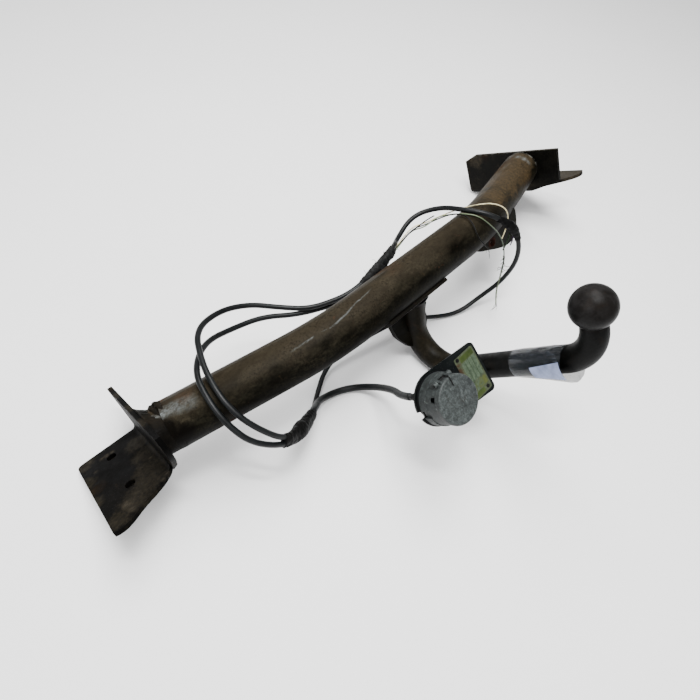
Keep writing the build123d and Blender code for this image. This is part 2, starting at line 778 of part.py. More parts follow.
with BuildPart() as lid_spring:
    with BuildSketch(rplane(sp(COIL_Y0, PIN_V, PIN_D), (0, -1, 0), SN)):
        with BuildLine():
            Line((0, 1.9), (0, COIL_R))
            for k in range(COIL_N):
                ThreePointArc((k * WIRE, COIL_R), (k * WIRE + WIRE / 2, COIL_R + 0.6), ((k + 1) * WIRE, COIL_R))
            Line((COIL_N * WIRE, COIL_R), (COIL_N * WIRE, 1.9))
            Line((COIL_N * WIRE, 1.9), (0, 1.9))
        make_face()
    revolve(axis=Axis(tuple(rp(*sp(COIL_Y0, PIN_V, PIN_D))), (0, -1, 0)))
    # leg on the housing
    with BuildSketch(rplane(sp(COIL_Y0 - 6.4, PIN_V, PIN_D - COIL_R), (0, 1, 0), (-SV[0], 0, -SV[2]))):
        Circle(WIRE / 2)
    extrude(amount=4.4)
    # leg over the lid
    with BuildLine(hplane(COIL_Y0 - 0.8)) as leg:
        FilletPolyline((PIN_D, PIN_V + COIL_R), (LEG_D, PIN_V + COIL_R), (LEG_D, PIN_V - 10), radius=1.5)
    with BuildSketch(rplane(sp(COIL_Y0 - 0.8, PIN_V + COIL_R, PIN_D), (0, 1, 0), SN)):
        Circle(WIRE / 2)
    sweep(path=leg.line)
save(lid_spring.part, "lid_spring")

# ---------------------------------------------------------------------------
# clear film round the neck, flared towards the ball, with a blank paper label
# ---------------------------------------------------------------------------
NORMAL = (-B_D2[1], B_D2[0])          # square to the neck's long straight, upwards


def neck_at(s, n=0.0):
    """Point s along the straight from its lower corner, n above its middle."""
    return (NECK_B[0] + B_D2[0] * s + NORMAL[0] * n, NECK_B[1] + B_D2[1] * s + NORMAL[1] * n)


def film_plane(s, y, n):
    p = neck_at(s, n)
    return rplane((p[0], y, p[1]), (0, 1, 0), (B_D2[0], 0, B_D2[1]))


FILM = ((221, 0.0, 0.0, 19.4), (262, -1.6, -1.8, 21.2), (303, -3.6, -4.2, 24.0))

with BuildPart() as film_wrap:
    for s_, y_, n_, r_ in FILM:
        with BuildSketch(film_plane(s_, y_, n_)):
            Circle(r_)
    loft()
    for s_, y_, n_, r_ in FILM:
        with BuildSketch(film_plane(s_ + (-0.5 if s_ == 221 else 0.5 if s_ == 303 else 0), y_, n_)):
            Circle(r_ - 0.5)
    loft(mode=Mode.SUBTRACT)
save(film_wrap.part, "film_wrap")

# the label is stuck to the film's front and follows its curve
LABEL_A = math.radians(180)           # direction round the neck, from +Y towards up
LN = (
    NORMAL[0] * math.sin(LABEL_A),
    math.cos(LABEL_A),
    NORMAL[1] * math.sin(LABEL_A),
)
LABEL_S = 278.5
LABEL_EDGE = ((-23.5, 4.6), (21.5, 10.1), (24.0, -12.4), (-22.5, -12.0))
LABEL_T = 0.4
lc = neck_at(LABEL_S)
LABEL_MID = (lc[0] + LN[0] * 12, LN[1] * 12, lc[1] + LN[2] * 12)

with BuildPart() as paper_label:
    for s_, y_, n_, r_ in FILM:
        with BuildSketch(film_plane(s_, y_, n_)):
            Circle(r_ + LABEL_T)
    loft()
    for s_, y_, n_, r_ in FILM:
        with BuildSketch(film_plane(s_ + (-0.5 if s_ == 221 else 0.5 if s_ == 303 else 0), y_, n_)):
            Circle(r_)
    loft(mode=Mode.SUBTRACT)
    with BuildSketch(rplane(LABEL_MID, (B_D2[0], 0, B_D2[1]), LN)):
        with BuildLine():
            Polyline(*LABEL_EDGE, close=True)
        make_face()
    extrude(amount=30, mode=Mode.INTERSECT)
save(paper_label.part, "paper_label")

# ---------------------------------------------------------------------------
# cable and single wires, points in the fitted position
# ---------------------------------------------------------------------------
CABLE_D = 7.5
WIRE_D = 1.8

CABLE = [
    sp(SOCK_Y, SOCK_V, 40), sp(SOCK_Y, SOCK_V, 14), (17.4, -111.2, -121.2), (-37.1, -115.6, -133.6),
    (-63.3, -144.2, -127.6), (-62.6, -186.2, -114.1), (-30.5, -212.9, -97.1), (-4.7, -252.9, -83.9),
    (19.3, -284.9, -65.1), (18.5, -309.0, -23.0), (4.7, -318.9, 5.9), (-17.8, -317.6, 31.5),
    (-49.8, -306.9, 52.6), (-90.1, -284.6, 71.4), (-113.8, -239.5, 65.8), (-115.6, -197.8, 49.9),
    (-100.0, -165.7, 28.1), (-75.6, -135.7, 11.6), (-54.9, -97.6, 8.9), (-48.7, -77.9, 9.4),
    (-44.3, -58.4, 12.3), (-38.4, -25.6, 23.6), (-42.1, 17.0, 32.9), (-63.4, 43.3, 27.6),
    (-67.7, 90.7, 45.0), (-37.5, 123.0, 45.9), (8.4, 127.8, 40.0), (41.9, 144.6, 24.9),
    (56.8, 176.9, -13.4), (47.0, 185.8, -66.1), (13.8, 178.2, -109.1), (-17.6, 151.7, -131.2),
    (-37.5, 110.1, -143.5), (-56.2, 62.4, -125.9), (-65.1, 16.7, -97.3), (-75.0, -34.9, -92.9),
    (-85.4, -86.0, -89.5), (-92.4, -137.6, -94.0), (-76.0, -187.2, -122.0), (-34.7, -215.5, -105.1),
    (-5.6, -249.6, -93.6), (19.2, -286.3, -73.4), (18.7, -320.4, -38.7), (7.2, -331.7, -4.8),
    (-12.9, -331.5, 24.7), (-46.1, -321.1, 47.8), (-87.2, -284.6, 52.6), (-107.9, -234.3, 36.6),
    (-107.0, -190.3, 26.4), (-89.9, -151.0, 8.4), (-67.9, -111.7, 1.7), (-56.7, -86.9, 0.6),
    (-49.6, -64.1, 3.0), (-43.5, -25.3, 14.2), (-47.7, 13.6, 21.9),
]
WIRE_BLACK = [
    (-47.7, 13.6, 21.9), (-49.2, 27.2, 24.6), (-38.8, 58.0, 40.8), (-36.1, 82.7, 35.4),
    (-27.5, 103.2, 35.6), (-11.4, 116.5, 37.8), (11.4, 121.0, 36.1), (29.5, 113.8, 22.8),
    (37.0, 107.9, 3.8), (38.6, 125.1, -19.9),
]
WIRE_GREEN = [
    (-45.5, 13.8, 21.9), (-47.0, 27.5, 24.6), (-43.3, 58.8, 37.7), (-32.7, 77.9, 34.0),
    (-26.8, 100.9, 39.7), (-21.6, 125.1, 33.3), (8.9, 120.3, 37.3), (28.1, 127.7, 31.3),
    (34.4, 143.1, 10.6), (32.6, 164.9, -16.1), (27.1, 179.0, -47.4), (20.4, 180.8, -74.7),
    (17.3, 171.1, -96.1), (16.5, 155.0, -113.0), (23.0, 139.2, -130.4),
]
WIRE_YELLOW = [
    (-49.9, 13.3, 21.9), (-51.4, 27.0, 24.6), (-40.7, 58.6, 43.2), (-38.1, 84.5, 37.0),
    (-30.4, 107.9, 36.6), (-20.7, 128.8, 35.8), (-5.5, 144.1, 36.4), (9.9, 159.1, 34.7),
    (22.9, 177.1, 28.3), (33.4, 193.4, 11.3), (30.9, 191.1, -13.9), (23.9, 180.8, -32.4),
]
WIRE_STUB = [
    (-28.5, 51.3, 43.8), (-27.0, 63.8, 44.7), (-25.6, 79.0, 46.1), (-22.7, 92.2, 46.1),
]


def cord(name, pts, dia):
    """Tube along straight runs joined by arcs as large as the runs allow."""
    p = [rp(*q) for q in pts]
    radii = []
    for a, b, c in zip(p, p[1:], p[2:]):
        r1, r2 = b - a, c - b
        turn = math.radians(r1.get_angle(r2))
        radii.append(0.45 * min(r1.length, r2.length) / math.tan(turn / 2))
    runs = [(b - a).length for a, b in zip(p, p[1:])]
    with BuildPart() as tube:
        with BuildLine() as path:
            FilletPolyline(*p, radius=radii)
        with BuildSketch(Plane(origin=p[0], z_dir=p[1] - p[0])):
            Circle(dia / 2)
        sweep(path=path.line)
    length = path.line.length if hasattr(path.line, "length") else sum(e.length for e in path.edges())
    print(name, "length", round(length, 1), "volume", round(tube.part.volume, 1), "of",
          round(math.pi * dia * dia / 4 * length, 1), "lowest point", round(min(q.Z for q in p), 1),
          "runs", round(min(runs), 1), round(max(runs), 1), "smallest radius", round(min(radii), 1))
    print("  radii", [round(r, 1) for r in radii])
    save(tube.part, name)


cord("main_cable", CABLE, CABLE_D)
cord("wire_black", WIRE_BLACK, WIRE_D)
cord("wire_green_white", WIRE_GREEN, WIRE_D)
cord("wire_yellow", WIRE_YELLOW, WIRE_D)
cord("wire_stub", WIRE_STUB, WIRE_D)

# tape round the places where two turns of the cable lie together


def between(a, b, t=0.5):
    return tuple(i + (j - i) * t for i, j in zip(a, b))


TAPE_FRONT = [between(CABLE[6], CABLE[39]), between(CABLE[7], CABLE[40]), between(CABLE[8], CABLE[41])]
TAPE_FRONT[2] = between(TAPE_FRONT[1], TAPE_FRONT[2], 0.8)
TAPE_REAR = [between(CABLE[20], CABLE[52]), between(CABLE[21], CABLE[53]), between(CABLE[22], CABLE[54])]
TAPE_REAR[0] = between(TAPE_REAR[1], TAPE_REAR[0], 0.8)

cord("front_tape_wrap", TAPE_FRONT, 20.0)
cord("rear_tape_wrap", TAPE_REAR, 19.0)
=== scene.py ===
import bpy
import bmesh
import math
import random
from mathutils import Matrix, Vector, noise


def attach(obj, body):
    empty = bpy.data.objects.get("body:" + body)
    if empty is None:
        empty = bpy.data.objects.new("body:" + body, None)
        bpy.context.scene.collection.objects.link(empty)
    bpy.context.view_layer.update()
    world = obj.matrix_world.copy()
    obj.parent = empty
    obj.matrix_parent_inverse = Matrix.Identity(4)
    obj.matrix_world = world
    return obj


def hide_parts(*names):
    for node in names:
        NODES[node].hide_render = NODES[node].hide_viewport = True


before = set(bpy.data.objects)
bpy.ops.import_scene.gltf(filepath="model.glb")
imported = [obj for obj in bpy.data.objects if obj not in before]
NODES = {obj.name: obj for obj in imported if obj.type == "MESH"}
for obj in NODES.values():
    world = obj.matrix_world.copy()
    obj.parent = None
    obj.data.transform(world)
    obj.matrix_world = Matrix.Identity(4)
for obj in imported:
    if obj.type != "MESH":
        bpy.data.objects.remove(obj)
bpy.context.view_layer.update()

# ---------------------------------------------------------------------------
# the fitted position (u, y, w in millimetres) seen from the resting frame
# ---------------------------------------------------------------------------
TILT = math.radians(33.0985)
ST, CT = math.sin(TILT), math.cos(TILT)
FLOOR = -190.0 * ST - 49.0 * CT
X_SHIFT = -44.224
MM = 0.001


def rp(u, y, w):
    return Vector(((u * CT - w * ST + X_SHIFT) * MM, y * MM, (u * ST + w * CT - FLOOR) * MM))


def rd(u, y, w):
    return Vector((u * CT - w * ST, y, u * ST + w * CT))


SN = (math.cos(math.radians(20)), 0.0, math.sin(math.radians(20)))
SV = (-SN[2], 0.0, SN[0])


def sp(y, v, d):
    """Socket coordinates to the fitted position."""
    return (d * SN[0] + v * SV[0], y, d * SN[2] + v * SV[2])


# ---------------------------------------------------------------------------
# camera
# ---------------------------------------------------------------------------
cam = bpy.data.objects.new("camera", bpy.data.cameras.new("camera"))
bpy.context.scene.collection.objects.link(cam)
right = rd(0.64300598, 0.7013541, -0.30764546)
down = rd(0.23302406, -0.56181823, -0.79376323)
ahead = rd(-0.72954993, 0.43870571, -0.52468486)
place = rp(465.196, -422.758, 300.717)
cam.matrix_world = Matrix((
    (right.x, -down.x, -ahead.x, place.x),
    (right.y, -down.y, -ahead.y, place.y),
    (right.z, -down.z, -ahead.z, place.z),
    (0, 0, 0, 1),
))
cam.data.sensor_width = 36.0
cam.data.lens = 478.0 / 700.0 * 36.0
cam.data.clip_start = 0.02
cam.data.clip_end = 50.0
bpy.context.scene.camera = cam

# ---------------------------------------------------------------------------
# cords: the route's points as in the CAD source, fitted position
# ---------------------------------------------------------------------------
SOCK_Y, SOCK_V = -126.0, -121.0
CABLE_D = 7.5
WIRE_D = 1.8
CABLE = [
    sp(SOCK_Y, SOCK_V, 40), sp(SOCK_Y, SOCK_V, 14), (17.4, -111.2, -121.2), (-37.1, -115.6, -133.6),
    (-63.3, -144.2, -127.6), (-62.6, -186.2, -114.1), (-30.5, -212.9, -97.1), (-4.7, -252.9, -83.9),
    (19.3, -284.9, -65.1), (18.5, -309.0, -23.0), (4.7, -318.9, 5.9), (-17.8, -317.6, 31.5),
    (-49.8, -306.9, 52.6), (-90.1, -284.6, 71.4), (-113.8, -239.5, 65.8), (-115.6, -197.8, 49.9),
    (-100.0, -165.7, 28.1), (-75.6, -135.7, 11.6), (-54.9, -97.6, 8.9), (-48.7, -77.9, 9.4),
    (-44.3, -58.4, 12.3), (-38.4, -25.6, 23.6), (-42.1, 17.0, 32.9), (-63.4, 43.3, 27.6),
    (-67.7, 90.7, 45.0), (-37.5, 123.0, 45.9), (8.4, 127.8, 40.0), (41.9, 144.6, 24.9),
    (56.8, 176.9, -13.4), (47.0, 185.8, -66.1), (13.8, 178.2, -109.1), (-17.6, 151.7, -131.2),
    (-37.5, 110.1, -143.5), (-56.2, 62.4, -125.9), (-65.1, 16.7, -97.3), (-75.0, -34.9, -92.9),
    (-85.4, -86.0, -89.5), (-92.4, -137.6, -94.0), (-76.0, -187.2, -122.0), (-34.7, -215.5, -105.1),
    (-5.6, -249.6, -93.6), (19.2, -286.3, -73.4), (18.7, -320.4, -38.7), (7.2, -331.7, -4.8),
    (-12.9, -331.5, 24.7), (-46.1, -321.1, 47.8), (-87.2, -284.6, 52.6), (-107.9, -234.3, 36.6),
    (-107.0, -190.3, 26.4), (-89.9, -151.0, 8.4), (-67.9, -111.7, 1.7), (-56.7, -86.9, 0.6),
    (-49.6, -64.1, 3.0), (-43.5, -25.3, 14.2), (-47.7, 13.6, 21.9),
]
WIRE_BLACK = [
    (-47.7, 13.6, 21.9), (-49.2, 27.2, 24.6), (-38.8, 58.0, 40.8), (-36.1, 82.7, 35.4),
    (-27.5, 103.2, 35.6), (-11.4, 116.5, 37.8), (11.4, 121.0, 36.1), (29.5, 113.8, 22.8),
    (37.0, 107.9, 3.8), (38.6, 125.1, -19.9),
]
WIRE_GREEN = [
    (-45.5, 13.8, 21.9), (-47.0, 27.5, 24.6), (-43.3, 58.8, 37.7), (-32.7, 77.9, 34.0),
    (-26.8, 100.9, 39.7), (-21.6, 125.1, 33.3), (8.9, 120.3, 37.3), (28.1, 127.7, 31.3),
    (34.4, 143.1, 10.6), (32.6, 164.9, -16.1), (27.1, 179.0, -47.4), (20.4, 180.8, -74.7),
    (17.3, 171.1, -96.1), (16.5, 155.0, -113.0), (23.0, 139.2, -130.4),
]
WIRE_YELLOW = [
    (-49.9, 13.3, 21.9), (-51.4, 27.0, 24.6), (-40.7, 58.6, 43.2), (-38.1, 84.5, 37.0),
    (-30.4, 107.9, 36.6), (-20.7, 128.8, 35.8), (-5.5, 144.1, 36.4), (9.9, 159.1, 34.7),
    (22.9, 177.1, 28.3), (33.4, 193.4, 11.3), (30.9, 191.1, -13.9), (23.9, 180.8, -32.4),
]
SHORT_PURPLE = [
    (51.5, 173.0, -9.0), (52.5, 171.5, -16.0), (50.5, 171.5, -24.0), (47.5, 172.5, -31.5), (43.0, 173.0, -38.0),
]
SHORT_GREEN = [
    (50.0, 169.5, -8.0), (49.0, 166.5, -17.0), (45.0, 164.0, -27.0), (40.0, 163.5, -36.0), (34.0, 165.0, -43.0),
]
WIRE_STUB = [
    (-28.5, 51.3, 43.8), (-27.0, 63.8, 44.7), (-25.6, 79.0, 46.1), (-22.7, 92.2, 46.1),
]


def nurbs(name, pts, dia, res=12):
    """One open smooth spline with the route's points as control points."""
    cu = bpy.data.curves.new(name, "CURVE")
    cu.dimensions = "3D"
    s = cu.splines.new("NURBS")
    s.points.add(len(pts) - 1)
    for p, q in zip(s.points, pts):
        v = rp(*q)
        p.co = (v.x, v.y, v.z, 1.0)
    s.order_u = 3
    s.use_endpoint_u = True
    s.resolution_u = res
    s.use_smooth = True
    cu.use_fill_caps = True
    cu.bevel_resolution = 5
    ob = bpy.data.objects.new(name, cu)
    bpy.context.scene.collection.objects.link(ob)
    bpy.context.view_layer.update()
    line = bpy.data.meshes.new_from_object(ob)
    centre = [v.co.copy() for v in line.vertices]
    bpy.data.meshes.remove(line)
    cu.bevel_depth = dia / 2 * MM
    return ob, centre


cable, cable_line = nurbs("seven_core_cable", CABLE, CABLE_D, 16)
w_black, black_line = nurbs("loose_wire_black", WIRE_BLACK, WIRE_D)
w_green, green_line = nurbs("loose_wire_green_white", WIRE_GREEN, WIRE_D)
w_yellow, yellow_line = nurbs("loose_wire_cream", WIRE_YELLOW, WIRE_D)
w_stub, stub_line = nurbs("loose_wire_stub", WIRE_STUB, WIRE_D)
w_purple, purple_line = nurbs("short_wire_purple", SHORT_PURPLE, WIRE_D)
w_short, short_line = nurbs("short_wire_green", SHORT_GREEN, WIRE_D)

# ---------------------------------------------------------------------------
# material building blocks
# ---------------------------------------------------------------------------
LIGHT = 2.7          # how brightly the studio lights a face, for the colours below


def shown(v):
    """About how bright the viewer shows a scene value."""
    x = min(1.0, max(0.0, (math.log2(max(v, 1e-6)) + 12.47393) / 16.5))
    return 15.5 * x**6 - 40.14 * x**5 + 31.96 * x**4 - 6.868 * x**3 + 0.4298 * x * x + 0.1191 * x - 0.00232


def lin(c):
    """A colour as it should look on a screen, 0 to 255, as a base colour in this studio's light."""
    mean = sum(c[:3]) / 3
    out = []
    for x in c[:3]:
        want = min(238.0, max(3.0, mean + (x - mean) * 1.06)) / 255.0
        lo_, hi_ = 1e-4, 6.0
        for _ in range(40):
            mid_ = math.sqrt(lo_ * hi_)
            if shown(mid_) < want:
                lo_ = mid_
            else:
                hi_ = mid_
        out.append(min(0.85, lo_ / LIGHT))
    return (*out, 1.0)


class Tree:
    """A material under construction, in the piece's own coordinates."""

    def __init__(self, name):
        self.mat = bpy.data.materials.new(name)
        self.mat.use_nodes = True
        self.nt = self.mat.node_tree
        self.nt.nodes.clear()
        self.out = self.nt.nodes.new("ShaderNodeOutputMaterial")
        self.b = self.nt.nodes.new("ShaderNodeBsdfPrincipled")
        self.nt.links.new(self.b.outputs[0], self.out.inputs[0])
        self.xyz = self.nt.nodes.new("ShaderNodeTexCoord").outputs["Object"]

    def put(self, sock, v):
        if hasattr(v, "is_output"):
            self.nt.links.new(v, sock)
        else:
            sock.default_value = v

    def set(self, **kw):
        names = {"color": "Base Color", "rough": "Roughness", "metal": "Metallic", "normal": "Normal",
                 "spec": "Specular IOR Level", "coat": "Coat Weight", "coat_rough": "Coat Roughness",
                 "alpha": "Alpha", "trans": "Transmission Weight", "ior": "IOR", "sheen": "Sheen Weight",
                 "sub": "Subsurface Weight"}
        for k, v in kw.items():
            self.put(self.b.inputs[names[k]], v)
        return self.mat

    def at(self, loc=(0, 0, 0), rot=(0, 0, 0), scale=(1, 1, 1), vec=None):
        m = self.nt.nodes.new("ShaderNodeMapping")
        m.vector_type = "POINT"
        m.inputs["Location"].default_value = loc
        m.inputs["Rotation"].default_value = rot
        m.inputs["Scale"].default_value = scale
        self.nt.links.new(vec or self.xyz, m.inputs["Vector"])
        return m.outputs[0]

    def noise(self, scale, detail=4.0, rough=0.55, dist=0.0, vec=None, lac=2.0):
        n = self.nt.nodes.new("ShaderNodeTexNoise")
        self.nt.links.new(vec or self.xyz, n.inputs["Vector"])
        n.inputs["Scale"].default_value = scale
        n.inputs["Detail"].default_value = detail
        n.inputs["Roughness"].default_value = rough
        n.inputs["Lacunarity"].default_value = lac
        n.inputs["Distortion"].default_value = dist
        return n.outputs["Fac"]

    def cells(self, scale, vec=None, feature="F1", rand=1.0):
        n = self.nt.nodes.new("ShaderNodeTexVoronoi")
        n.feature = feature
        self.nt.links.new(vec or self.xyz, n.inputs["Vector"])
        n.inputs["Scale"].default_value = scale
        n.inputs["Randomness"].default_value = rand
        return n.outputs["Distance"]

    def waves(self, scale, dist=0.0, detail=2.0, vec=None, axis="X", bands=True, dscale=1.0):
        n = self.nt.nodes.new("ShaderNodeTexWave")
        n.wave_type = "BANDS" if bands else "RINGS"
        if bands:
            n.bands_direction = axis
        self.nt.links.new(vec or self.xyz, n.inputs["Vector"])
        n.inputs["Scale"].default_value = scale
        n.inputs["Distortion"].default_value = dist
        n.inputs["Detail"].default_value = detail
        n.inputs["Detail Scale"].default_value = dscale
        return n.outputs["Fac"]

    def ramp(self, fac, *stops, mode="LINEAR"):
        n = self.nt.nodes.new("ShaderNodeValToRGB")
        n.color_ramp.interpolation = mode
        el = n.color_ramp.elements
        while len(el) < len(stops):
            el.new(0.5)
        for e, (p, c) in zip(el, stops):
            e.position = p
            e.color = c if hasattr(c, "__len__") else (c, c, c, 1.0)
        self.nt.links.new(fac, n.inputs[0])
        return n.outputs[0]

    def step(self, fac, a, b, lo=0.0, hi=1.0):
        """Value from lo to hi as fac goes from a to b."""
        n = self.nt.nodes.new("ShaderNodeMapRange")
        n.clamp = True
        n.inputs["From Min"].default_value = a
        n.inputs["From Max"].default_value = b
        n.inputs["To Min"].default_value = lo
        n.inputs["To Max"].default_value = hi
        self.nt.links.new(fac, n.inputs["Value"])
        return n.outputs[0]

    def mix(self, fac, a, b, kind="MIX"):
        n = self.nt.nodes.new("ShaderNodeMix")
        n.data_type = "RGBA"
        n.blend_type = kind
        self.put(n.inputs[0], fac)
        self.put(n.inputs[6], a)
        self.put(n.inputs[7], b)
        return n.outputs[2]

    def op(self, kind, a, b=0.5, c=None):
        n = self.nt.nodes.new("ShaderNodeMath")
        n.operation = kind
        self.put(n.inputs[0], a)
        self.put(n.inputs[1], b)
        if c is not None:
            self.put(n.inputs[2], c)
        return n.outputs[0]

    def dot(self, direction, vec=None):
        """How far along a direction, in metres."""
        n = self.nt.nodes.new("ShaderNodeVectorMath")
        n.operation = "DOT_PRODUCT"
        self.nt.links.new(vec or self.xyz, n.inputs[0])
        n.inputs[1].default_value = direction
        return n.outputs["Value"]

    def far(self, point):
        n = self.nt.nodes.new("ShaderNodeVectorMath")
        n.operation = "DISTANCE"
        self.nt.links.new(self.xyz, n.inputs[0])
        n.inputs[1].default_value = point
        return n.outputs["Value"]

    def facing(self, direction):
        """Cosine between the surface and a direction fixed on the piece."""
        g = self.nt.nodes.new("ShaderNodeTexCoord")
        n = self.nt.nodes.new("ShaderNodeVectorMath")
        n.operation = "DOT_PRODUCT"
        self.nt.links.new(g.outputs["Normal"], n.inputs[0])
        n.inputs[1].default_value = direction
        return n.outputs["Value"]

    def shade(self, col, low=0.35, a=-0.75, b=0.45):
        """Painted shade: the colour is darkened on faces that turn down, to low times the colour at the bottom."""
        k = self.step(self.facing((0.0, 0.0, 1.0)), a, b, low, 1.0)
        return self.mix(1.0, col, self.ramp(k, (0.0, 0.0), (1.0, 1.0)), "MULTIPLY")

    def bump(self, height, depth=0.0005, strength=1.0, under=None):
        n = self.nt.nodes.new("ShaderNodeBump")
        n.inputs["Strength"].default_value = strength
        n.inputs["Distance"].default_value = depth
        self.nt.links.new(height, n.inputs["Height"])
        if under is not None:
            self.nt.links.new(under, n.inputs["Normal"])
        return n.outputs[0]


UP = tuple(rd(0, 0, 1))
ALONG = (0.0, 1.0, 0.0)


def old_paint(name, dark, mid, light, rust=(112, 74, 44), rust_share=0.5, gloss=0.34, stretch=(1, 0.35, 1), pits=1.0,
              rust_spots=None, painted_top_light=0.0, bright=None, low=0.32, spec=0.10, shine=None, grit=0.72, blots=0.0,
              bare_and_sheen=None, bare_and_sheen_col=(150, 150, 146), dusty=None, dusty_col=(66, 57, 44),
              black=0.0, scratch_and_highlight=None, sooty=None):
    """Old semi-gloss paint over steel: blotches, runs along the bar, pinpricks and rust coming through, with painted
    shade on faces that turn down, painted light on faces that turn up, and painted highlight where bare spots and the
    worn line stand in for sheen.
    """
    t = Tree(name)
    v = t.at(scale=stretch)
    big = t.noise(9.0, 5, 0.6, 0.3, vec=v)
    mid_n = t.noise(42.0, 6, 0.62, 0.2, vec=v)
    fine = t.noise(320.0, 4, 0.6)
    grime = t.op("ADD", t.op("MULTIPLY", big, 0.55), t.op("MULTIPLY", mid_n, 0.45))
    col = t.ramp(grime, (0.36, lin(dark)), (0.5, lin(mid)), (0.66, lin(light)))
    speck = t.step(fine, 0.35, 0.72, grit, 1.22)
    if blots:
        b1 = t.noise(95.0, 7, 0.72, 0.5, vec=t.at(loc=(1.3, 0.2, 5.0), scale=stretch))
        col = t.mix(t.op("MULTIPLY", t.step(b1, 0.47, 0.56), blots), col, lin(dark))
        b2 = t.noise(150.0, 6, 0.7, 0.4, vec=t.at(loc=(4.3, 2.2, 1.0), scale=stretch))
        col = t.mix(t.op("MULTIPLY", t.step(b2, 0.58, 0.66), blots * 0.12), col, lin(bright or light))
    col = t.mix(1.0, col, t.ramp(speck, (0.0, 0.0), (1.0, 1.0)), "MULTIPLY")
    # rust
    r1 = t.noise(14.0, 7, 0.68, 0.6, vec=t.at(loc=(3.1, 1.7, 0.4), scale=stretch))
    r2 = t.noise(130.0, 5, 0.7, 0.4)
    rmask = t.op("ADD", t.op("MULTIPLY", r1, 0.7), t.op("MULTIPLY", r2, 0.3))
    edge = 0.62 - 0.16 * rust_share
    rm = t.step(rmask, edge, edge + 0.07)
    if rust_spots:
        for point, size in rust_spots:
            d = t.step(t.far(point), size * 0.45, size, 1.0, 0.0)
            d = t.op("MULTIPLY", d, t.step(mid_n, 0.34, 0.56))
            rm = t.op("MAXIMUM", rm, d)
    rc = t.ramp(r2, (0.3, lin(tuple(c * 0.55 for c in rust))), (0.55, lin(rust)),
                (0.75, lin(tuple(min(255, c * 1.35) for c in rust))))
    col = t.mix(rm, col, rc)
    if dusty:
        dm = None
        for point, size in dusty:
            d = t.step(t.far(point), size * 0.2, size, 1.0, 0.0)
            dm = d if dm is None else t.op("MAXIMUM", dm, d)
        ragged = t.noise(75.0, 7, 0.72, 0.4, vec=t.at(loc=(2.3, 5.1, 0.6)))
        dm = t.step(t.op("ADD", t.op("MULTIPLY", dm, 0.55), ragged), 0.62, 0.84, 0.0, 0.9)
        dcol = t.ramp(t.noise(210.0, 5, 0.7, 0.3), (0.35, lin(tuple(c * 0.6 for c in dusty_col))), (0.68, lin(tuple(c * 1.15 for c in dusty_col))))
        col = t.mix(dm, col, dcol)
    # pinpricks
    pit = t.cells(260.0)
    pm = t.op("MULTIPLY", t.step(pit, 0.10, 0.22, 1.0, 0.0), t.step(big, 0.45, 0.6))
    col = t.mix(t.op("MULTIPLY", pm, 0.8), col, lin((14, 12, 10)))
    # painted light: faces that turn up are lightened toward the bright colour, broken up by noise
    if painted_top_light:
        up = t.step(t.op("ADD", t.facing(UP), t.op("MULTIPLY", t.op("SUBTRACT", mid_n, 0.5), 1.6)), 0.15, 1.0,
                    0.0, painted_top_light)
        col = t.mix(up, col, lin(bright or light))
    if black:
        s1 = t.noise(330.0, 5, 0.75, 0.3, vec=t.at(loc=(8.1, 0.4, 2.0)))
        s2 = t.op("ADD", s1, t.op("MULTIPLY", t.op("SUBTRACT", mid_n, 0.5), 0.5))
        col = t.mix(t.op("MULTIPLY", t.step(s2, 0.53, 0.66), black), col, lin((12, 12, 10)))
    if sooty:
        sm = None
        for point, size in sooty:
            d = t.step(t.far(point), size * 0.2, size, 1.0, 0.0)
            sm = d if sm is None else t.op("MAXIMUM", sm, d)
        torn = t.noise(60.0, 7, 0.72, 0.4, vec=t.at(loc=(6.3, 0.1, 2.6)))
        sm = t.step(t.op("ADD", t.op("MULTIPLY", sm, 0.75), torn), 0.58, 1.0, 0.0, 0.92)
        col = t.mix(sm, col, lin((14, 12, 10)))
    # painted shade: faces that turn down are darkened, to the low factor at the bottom
    col = t.shade(col, low)
    if scratch_and_highlight:
        # worn line along the bar that also paints a highlight streak on its top: u, w, first and last y, width, in
        # millimetres
        su, sw, y0, y1, wide = scratch_and_highlight
        wob = t.op("MULTIPLY", t.op("SUBTRACT", t.noise(14.0, 4, 0.6), 0.5), 0.006)
        uu = t.op("SUBTRACT", t.dot(tuple(rd(1, 0, 0))), rp(0, 0, 0).dot(Vector(rd(1, 0, 0))) + su * MM)
        ymm = t.op("MULTIPLY", t.dot(ALONG), 1000.0)
        left = t.op("MAXIMUM", t.op("SUBTRACT", -165.0, ymm), 0.0)
        right = t.op("MAXIMUM", t.op("ADD", ymm, 140.0), 0.0)
        bend = t.op("ADD", t.op("MULTIPLY", left, 0.00019), t.op("MULTIPLY", right, 0.00011))
        d = t.op("ABSOLUTE", t.op("ADD", t.op("ADD", uu, bend), wob), 0.0)
        line = t.step(d, 0.15 * wide * MM, wide * MM, 1.0, 0.0)
        yy = t.dot(ALONG)
        line = t.op("MULTIPLY", line, t.op("MULTIPLY", t.step(yy, (y0 - 8) * MM, (y0 + 8) * MM), t.step(yy, (y1 - 8) * MM, (y1 + 8) * MM, 1.0, 0.0)))
        line = t.op("MULTIPLY", line, t.step(t.facing(UP), 0.5, 0.7))
        broken = t.noise(130.0, 6, 0.7, 0.3, vec=t.at(loc=(0.3, 1.1, 4.0), scale=(1, 0.5, 1)))
        line = t.op("MULTIPLY", line, t.step(broken, 0.42, 0.62))
        col = t.mix(t.op("MULTIPLY", line, 0.45), col, lin(bare_and_sheen_col))
